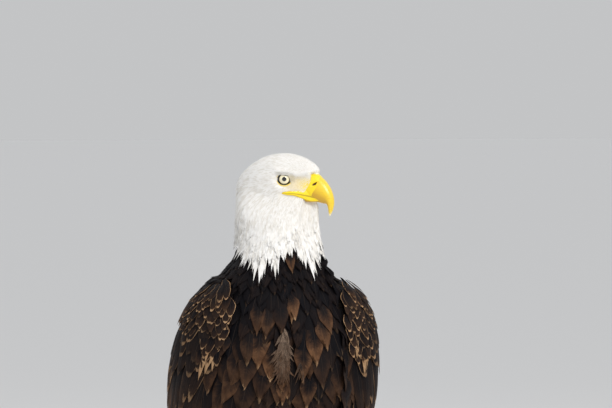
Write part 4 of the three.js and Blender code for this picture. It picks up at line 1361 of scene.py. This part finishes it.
def tract(side, top, rows, step, length, half, across, lift, stagger):
    """Rows of coverts across a wing, each set off against the next: midlines and normals,
    half widths, and how far back each feather is rooted."""
    whole = np.linspace(*across, 30)[None, :]
    tops, ts = [], []
    for row in range(rows):
        z = top - row * step
        reach = wing_place(side, whole, z + 0 * whole)[0]
        span = np.linalg.norm(np.diff(reach[0], axis=0), axis=1).sum()
        how_many = max(3, int(span / stagger))
        share = (np.arange(how_many) + 0.5 * (row % 2) + 0.25) / how_many
        tops.append(z + draw.normal(0, 0.22 * step + 0.4, how_many))
        ts.append(between_edges(across, share) + draw.normal(0, 0.010, how_many))
    top, t = np.concatenate(tops), np.concatenate(ts)
    length = length * draw.uniform(0.8, 1.2, len(t))
    line, ups = wing_course(side, t, draw.normal(0, 0.02, len(t)), top, length, 8)
    line = raised(line, ups, lift[0], lift[1] + draw.normal(0, 0.4, len(t)), lift[2])
    return line, ups, half * draw.uniform(0.88, 1.12, len(t)), t


covert_finish = brown_finish("wing coverts", 120.0, 0.06, 0.87, 1.0)
worn_finish = brown_finish("worn coverts", 120.0, 0.06, 0.60, 0.8)
quill_finish = brown_finish("flight feathers", 520.0, 0.035, 0.92, 1.0)

# name, first row's height, rows, step, length, half width, front and back edge, lift at root
# and tip and bow, spacing, warmth, rim, share of the width at the tip, grid rows, grid columns
WING_TRACTS = (
    ("lesser_coverts", 560, 7, 7.5, 23, 6.2, (0.02, 0.42),
     (-3.5, 1.4, 0.8), 8.5, 0.2, 0.75, 0.34, 7, 5),
    ("edge_coverts", 556, 10, 8.5, 25, 6.5, (0.005, 0.13),
     (-2.0, 2.8, 1.0), 8.0, 0.25, 0.9, 0.36, 7, 5),
    ("median_coverts", 520, 3, 15.0, 50, 13.0, (0.06, 0.44),
     (-4.5, 1.2, 0.8), 15.0, 0.10, 0.34, 0.36, 10, 7),
    ("greater_coverts", 478, 3, 22.0, 100, 10.5, (0.02, 0.46),
     (-5.5, 0.6, 0.8), 14.0, 0.2, 0.25, 0.36, 14, 7),
    ("shoulder_feathers", 562, 3, 13.0, 48, 11.5, (0.36, 0.99),
     (-4.5, 0.7, 0.7), 13.0, 0.7, 0.35, 0.24, 10, 7),
    ("scapulars", 522, 6, 21.0, 98, 9.0, (0.34, 0.985),
     (-5.0, 1.6, 0.8), 13.0, 0.75, 0.5, 0.18, 14, 7),
)
WORN_COVERTS = 7
QUILL_DRIFT = 0.02  # share of the wing's width that a quill moves back towards its tip
# name, highest root, length, half width, front and back edge, lift at root and tip and bow,
# count, rise of the roots towards the back, shortening towards the front, slot
QUILLS = (
    ("secondaries", 410, 222, 15.0, (0.04, 0.80), (-6.0, 0.0, 0.6), 15, 20, 0.05, "brown_feathers"),
    ("tertials", 470, 250, 20.0, (0.74, 0.96), (-3.0, 2.0, 0.8), 5, 10, 0.05, "brown_feathers"),
    ("primaries", 250, 205, 13.5, (0.10, 0.92), (-2.0, -0.4, 0.2), 10, -20, 0.16, "dark_feathers"),
)
for side, wing in ((1, "left"), (-1, "right")):
    for (name, top, rows, step, length, half, across, lift, stagger, warm, rim, blunt, grid_rows,
         columns) in WING_TRACTS:
        line, ups, widths, t = tract(side, top, rows, step, length, half, across, lift, stagger)
        count = len(t)
        marks = {"chance": draw.random(count), "warm": (warm * draw.uniform(0.3, 1.2, count)).clip(0, 1),
                 "rim": (rim * 2.2 * draw.random(count) ** 1.4).clip(0, 1), "pale": 0 * t}
        plumage(f"{name}_{wing}", line, ups, widths, covert_finish, "brown_feathers", marks,
                rows=grid_rows, columns=columns, blunt=blunt, fray=0.07, cup=0.2, swell=0.4,
                pole=WING_POLE)

    # Worn pale coverts that show at the wing's front edge, over the dark ones.
    t, drift = draw.uniform(0.03, 0.11, WORN_COVERTS), draw.normal(-0.01, 0.02, WORN_COVERTS)
    tops, length = draw.uniform(472, 496, WORN_COVERTS), draw.uniform(34, 56, WORN_COVERTS)
    line, ups = wing_course(side, t, drift, tops, length, 8)
    line = raised(line, ups, -3.0, 2.6, 1.4)
    half = draw.uniform(2.6, 4.4, WORN_COVERTS)
    plumage(f"worn_coverts_{wing}", line, ups, half, worn_finish, "brown_feathers",
            {"chance": draw.random(WORN_COVERTS), "warm": 0 * t + 1, "rim": 0 * t + 1, "pale": 0 * t},
            rows=12, columns=7, fray=0.3, blunt=0.15, cup=0.2, pole=WING_POLE)

    # Quills: each vane lies under the next one towards the back, so it is tipped a little.
    for name, top, length, half, across, lift, count, slant, shorter, slot in QUILLS:
        share = (np.arange(count) + 0.5) / count
        t = between_edges(across, share)
        tops = top + slant * (share - 0.5) + draw.normal(0, 1.5, count)
        reach = length * (1 - shorter * (1 - share)) + draw.normal(0, 3, count)
        line, ups = wing_course(side, t, 0 * t + QUILL_DRIFT, tops, reach, 14)
        line = raised(line, ups, lift[0], lift[1] + 1.2 * share, lift[2])
        marks = {"chance": draw.random(count), "warm": draw.uniform(0.3, 0.75, count),
                 "rim": draw.uniform(0.2, 0.5, count), "pale": 0 * t}
        nodes = () if name == "tertials" else (f"wing_{wing}_{name}",)
        plumage(f"{name}_{wing}", line, ups, np.full(count, half), quill_finish, slot, marks, nodes,
                rows=30, columns=11, blunt=0.34, fray=0.02, cup=0.10, swell=0.12,
                roll=-0.10 * side, pole=WING_POLE)

# ---------------------------------------------------------------- the tail
# Twelve broad white quills lie over each other in a closed fan, the middle pair on top, and
# white coverts hide their roots above and below.
TAIL_ROOT = np.array([0.0, 122.0, 252.0])
TAIL_WAY = np.array([0.0, 0.51, -0.86])
TAIL_WAY /= np.linalg.norm(TAIL_WAY)
TAIL_UP = np.array([0.0, -TAIL_WAY[2], TAIL_WAY[1]])
TAIL_LENGTH = 284.0
TAIL_QUILL_HALF = 19.0
TAIL_COVERTS = 46  # on each side, above and below


def tail_course(offset, spread, start, length, level, steps=14):
    """Midlines in the tail: from start along it, offset aside and spreading to the tip, at a
    level above its middle plane."""
    s = np.linspace(0, 1, steps)[None, :, None]
    along = start[:, None, None] + length[:, None, None] * s
    aside = offset[:, None, None] + spread[:, None, None] * s
    line = TAIL_ROOT + along * TAIL_WAY + aside * [1, 0, 0] + level[:, None, None] * TAIL_UP
    return line, np.broadcast_to(TAIL_UP, line.shape)


rank = np.repeat(np.arange(6), 2)
sides = np.tile([1.0, -1.0], 6)
line, ups = tail_course(
    sides * (3 + 3.2 * rank), sides * (1.5 + 3.3 * rank), 6.0 + 0 * rank, TAIL_LENGTH - 8 - 1.6 * rank,
    3.0 - 2.1 * rank)
plumage("tail_feathers", line, ups, TAIL_QUILL_HALF + 0 * rank, white_finish, "white_feathers",
        {"chance": draw.random(12), "lore": 0.0 * rank}, ("tail",), rows=34, columns=13,
        blunt=0.50, fray=0.015, cup=0.05, swell=0.25, roll=-0.13 * sides, pole=TAIL_POLE)
for name, over in (("upper_tail_coverts", 1), ("under_tail_coverts", -1)):
    start = draw.uniform(-16, 78, TAIL_COVERTS)
    aside = draw.uniform(-1, 1, TAIL_COVERTS) * (26 + 0.05 * start)
    length = draw.uniform(52, 78, TAIL_COVERTS)
    line, ups = tail_course(aside, 0.25 * aside, start, length, 0 * aside, 8)
    lift = np.interp(start, [-16, 90], [13, 8]) + draw.uniform(-1, 1, TAIL_COVERTS)
    fall = 5.0 * np.linspace(0, 1, 8)[None, :, None]
    line = line + over * ups * (lift[:, None, None] - fall)
    plumage(name, line, over * ups, draw.uniform(8, 11, TAIL_COVERTS), white_finish, "white_feathers",
            {"chance": draw.random(TAIL_COVERTS), "lore": 0 * start}, rows=10, columns=7,
            blunt=0.3, fray=0.08, cup=0.2, pole=TAIL_POLE)

# ---------------------------------------------------------------- the feet
# Bare shanks and toes are wrapped in yellow scales: wide plates down the front and along
# the tops of the toes, small beads elsewhere, and rough pads on which the bird stands.
# columns: x, y, height, radius of the shank
TARSUS = np.array([
    [56, 34, 104, 9.8],
    [56.3, 30, 76, 10.2],
    [56.6, 26, 50, 10.8],
    [57, 22, 26, 12.4],
    [57, 20, 10, 13],
])
FOOT = np.array([57.0, 20.0])
SOLE = (17.0, 18.0, 15.0, 7.0)  # half axes aside, along and up, and height of the middle
TOE_RADIUS = 8.2
# digit, bearing from straight ahead towards the outside, length, length of its claw
TOES = ((1, 188, 38, 42), (2, -28, 52, 38), (3, 6, 68, 32), (4, 42, 55, 27))
PLATE_RISE = 1.35
BEAD_RISE = 0.75
PLATE_ARC = 0.95  # the plates reach this far round to each side, in radians
PLATE_LONG = 5.6
PLATE_BEND = 1.2  # a plate's middle lies this much further down than its ends
BEAD = (3.0, 2.7)  # width and length of a bead
CLAW_RADIUS = 4.2
CLAW_SIDES = 28
CLAW_LOWEST = 0.3
FOOT_VOXEL = 0.9


def tiles(a, b, wide, long):
    """Height of pillow-shaped scales in staggered rows: (1 - u^4) (1 - v^4) in each tile."""
    row = np.floor(b / long)
    u = 2 * ((a / wide + 0.5 * (row % 2)) % 1) - 1
    v = 2 * ((b / long) % 1) - 1
    return (1 - u ** 4) * (1 - v ** 4)


def scaly_bar(path, radii, front, sides=72):
    """Rings of a round bar along a path, with plates where the side faces front and beads
    all round the rest. front is the direction that the plates face."""
    way = unit(np.gradient(path, axis=0))
    aside = unit(np.cross(way, front))
    ahead = np.cross(aside, way)
    a = np.linspace(-math.pi, math.pi, sides, endpoint=False)[None, :]
    run = np.concatenate([[0], np.cumsum(np.linalg.norm(np.diff(path, axis=0), axis=1))])[:, None]
    plated = np.abs(a) < PLATE_ARC
    plate = tiles(a / (2 * PLATE_ARC) + 0.5, run - PLATE_BEND * np.cos(a), 1.0, PLATE_LONG) * plated
    bead = tiles(a * radii[:, None], run, *BEAD) * ~plated
    reach = radii[:, None] + PLATE_RISE * plate + BEAD_RISE * bead - 0.5
    out = np.cos(a)[..., None] * ahead[:, None, :] + np.sin(a)[..., None] * aside[:, None, :]
    return path[:, None, :] + reach[..., None] * out


def toe_place(side, bearing, along, z):
    """Place in a foot so far out along a toe and so high."""
    b = math.radians(bearing)
    x = side * (FOOT[0] + math.sin(b) * along)
    return np.stack([x, FOOT[1] - math.cos(b) * along, z + 0 * along], axis=-1)


foot_finish, tree, shader = finish_of("foot scales", 0.5)
place = own_place(tree)
colour = blend(tree, clouds(tree, place, 160.0), (0.64, 0.37, 0.022), (0.82, 0.57, 0.06))
# Painted shade: the grooves between the scales are darkened.
groove_shade = times(tree, attribute(tree, "groove_shade"), 0.9)
colour = blend(tree, groove_shade, colour, (0.20, 0.105, 0.02))
dress(tree, shader, colour, relief(tree, clouds(tree, place, 1300.0), 0.3, 0.0004))

claw_finish, tree, shader = finish_of("claw horn", 0.22, Coat_Weight=0.3, Coat_Roughness=0.15)
growth = clouds(tree, stretched(tree, own_place(tree), (260, 260, 60)), 1.0)
colour = blend(tree, growth, (0.008, 0.007, 0.0065), (0.028, 0.023, 0.02))
colour = blend(tree, between(tree, attribute(tree, "along"), 0.25, 0.0), colour, (0.10, 0.075, 0.05))
dress(tree, shader, colour, relief(tree, growth, 0.2, 0.0003))

for side, name in ((1, "left"), (-1, "right")):
    rows = through(TARSUS, 30)
    shank = scaly_bar(rows[:, :3] * [side, 1, 1], rows[:, 3], np.array([0, -1.0, 0.0]))
    tubes = [capped_tube(shank)]
    polar = np.linspace(0.03, math.pi - 0.03, 48)[:, None]
    a = angles(96)
    swell = 1 + 0.025 * tiles(a * 15, polar * 15, *BEAD)
    pad = np.stack([SOLE[0] * np.sin(polar) * np.cos(a), SOLE[1] * np.sin(polar) * np.sin(a),
                    SOLE[2] * np.cos(polar) + 0 * a], axis=-1) * swell[..., None]
    tubes.append(capped_tube(pad + [side * FOOT[0], FOOT[1], SOLE[3]]))
    for digit, bearing, length, claw in TOES:
        t = np.linspace(0, 1, 70)
        radius = TOE_RADIUS * (1 - 0.24 * t) * (1 + 0.10 * np.cos(t * math.pi * 5))
        radius *= np.sqrt((1 - ((t - 0.9) / 0.115).clip(0, 1) ** 2).clip(0.05, 1))
        path = toe_place(side, bearing, 6 + t * (length - 2), TOE_RADIUS * (1 - 0.16 * t) * 0.84)
        tubes.append(capped_tube(scaly_bar(path, radius, np.array([0, 0, 1.0]), 56)))
        # The claw: a tapering hook that comes down to just above the floor.
        t = np.linspace(0, 1, 40)
        arch = 6 * np.sin(math.pi * np.minimum(t * 1.12, 1)) - 6.2 * t ** 2.2
        path = toe_place(side, bearing, length - 3 + claw * 0.86 * t, 8 + arch)
        radius = CLAW_RADIUS * (1 - t) ** 0.75 + 0.35
        way = unit(np.gradient(path, axis=0))
        across = unit(np.cross(way, [0, 0, 1.0]))
        above = np.cross(across, way)
        a = angles(CLAW_SIDES)
        deep = np.where(np.sin(a) < 0, 0.82, 1.12)
        ring = path[:, None, :] + radius[:, None, None] * (
            0.86 * np.cos(a)[..., None] * across[:, None, :]
            + (deep * np.sin(a))[..., None] * above[:, None, :])
        ring[..., 2] = ring[..., 2].clip(CLAW_LOWEST)
        hook = tube_mesh(f"talon_{name}_{digit}", ring)
        give(hook, "along", np.append(np.repeat(t, CLAW_SIDES), [0, 1]))
        settle(hook, claw_finish, "claw_horn", f"claw_{name}_{digit}")
    foot = mesh_of(f"foot_{name}", tubes)
    remesh = foot.modifiers.new("remesh", "REMESH")
    remesh.mode = "VOXEL"
    remesh.voxel_size = FOOT_VOXEL * MM
    finished(foot)
    where = places(foot.data)
    where[:, 2] = where[:, 2].clip(0)
    set_places(foot.data, where)
    edges = np.empty(len(foot.data.edges) * 2, dtype=int)
    foot.data.edges.foreach_get("vertices", edges)
    edges = edges.reshape(-1, 2)
    total, count = np.zeros_like(where), np.zeros(len(where))
    for a, b in ((0, 1), (1, 0)):
        np.add.at(total, edges[:, a], where[edges[:, b]])
        np.add.at(count, edges[:, a], 1)
    # Grooves are where a vertex lies under the mean of its neighbours; they get painted shade.
    hollow = np.sum((total / count[:, None] - where) * facing(foot.data), axis=1)
    give(foot, "groove_shade", smooth(hollow, 0.0, 0.10))
    settle(foot, foot_finish, "foot_skin", f"tarsus_{name}", *(f"toe_{name}_{toe[0]}" for toe in TOES))

bpy.data.objects.remove(outline)
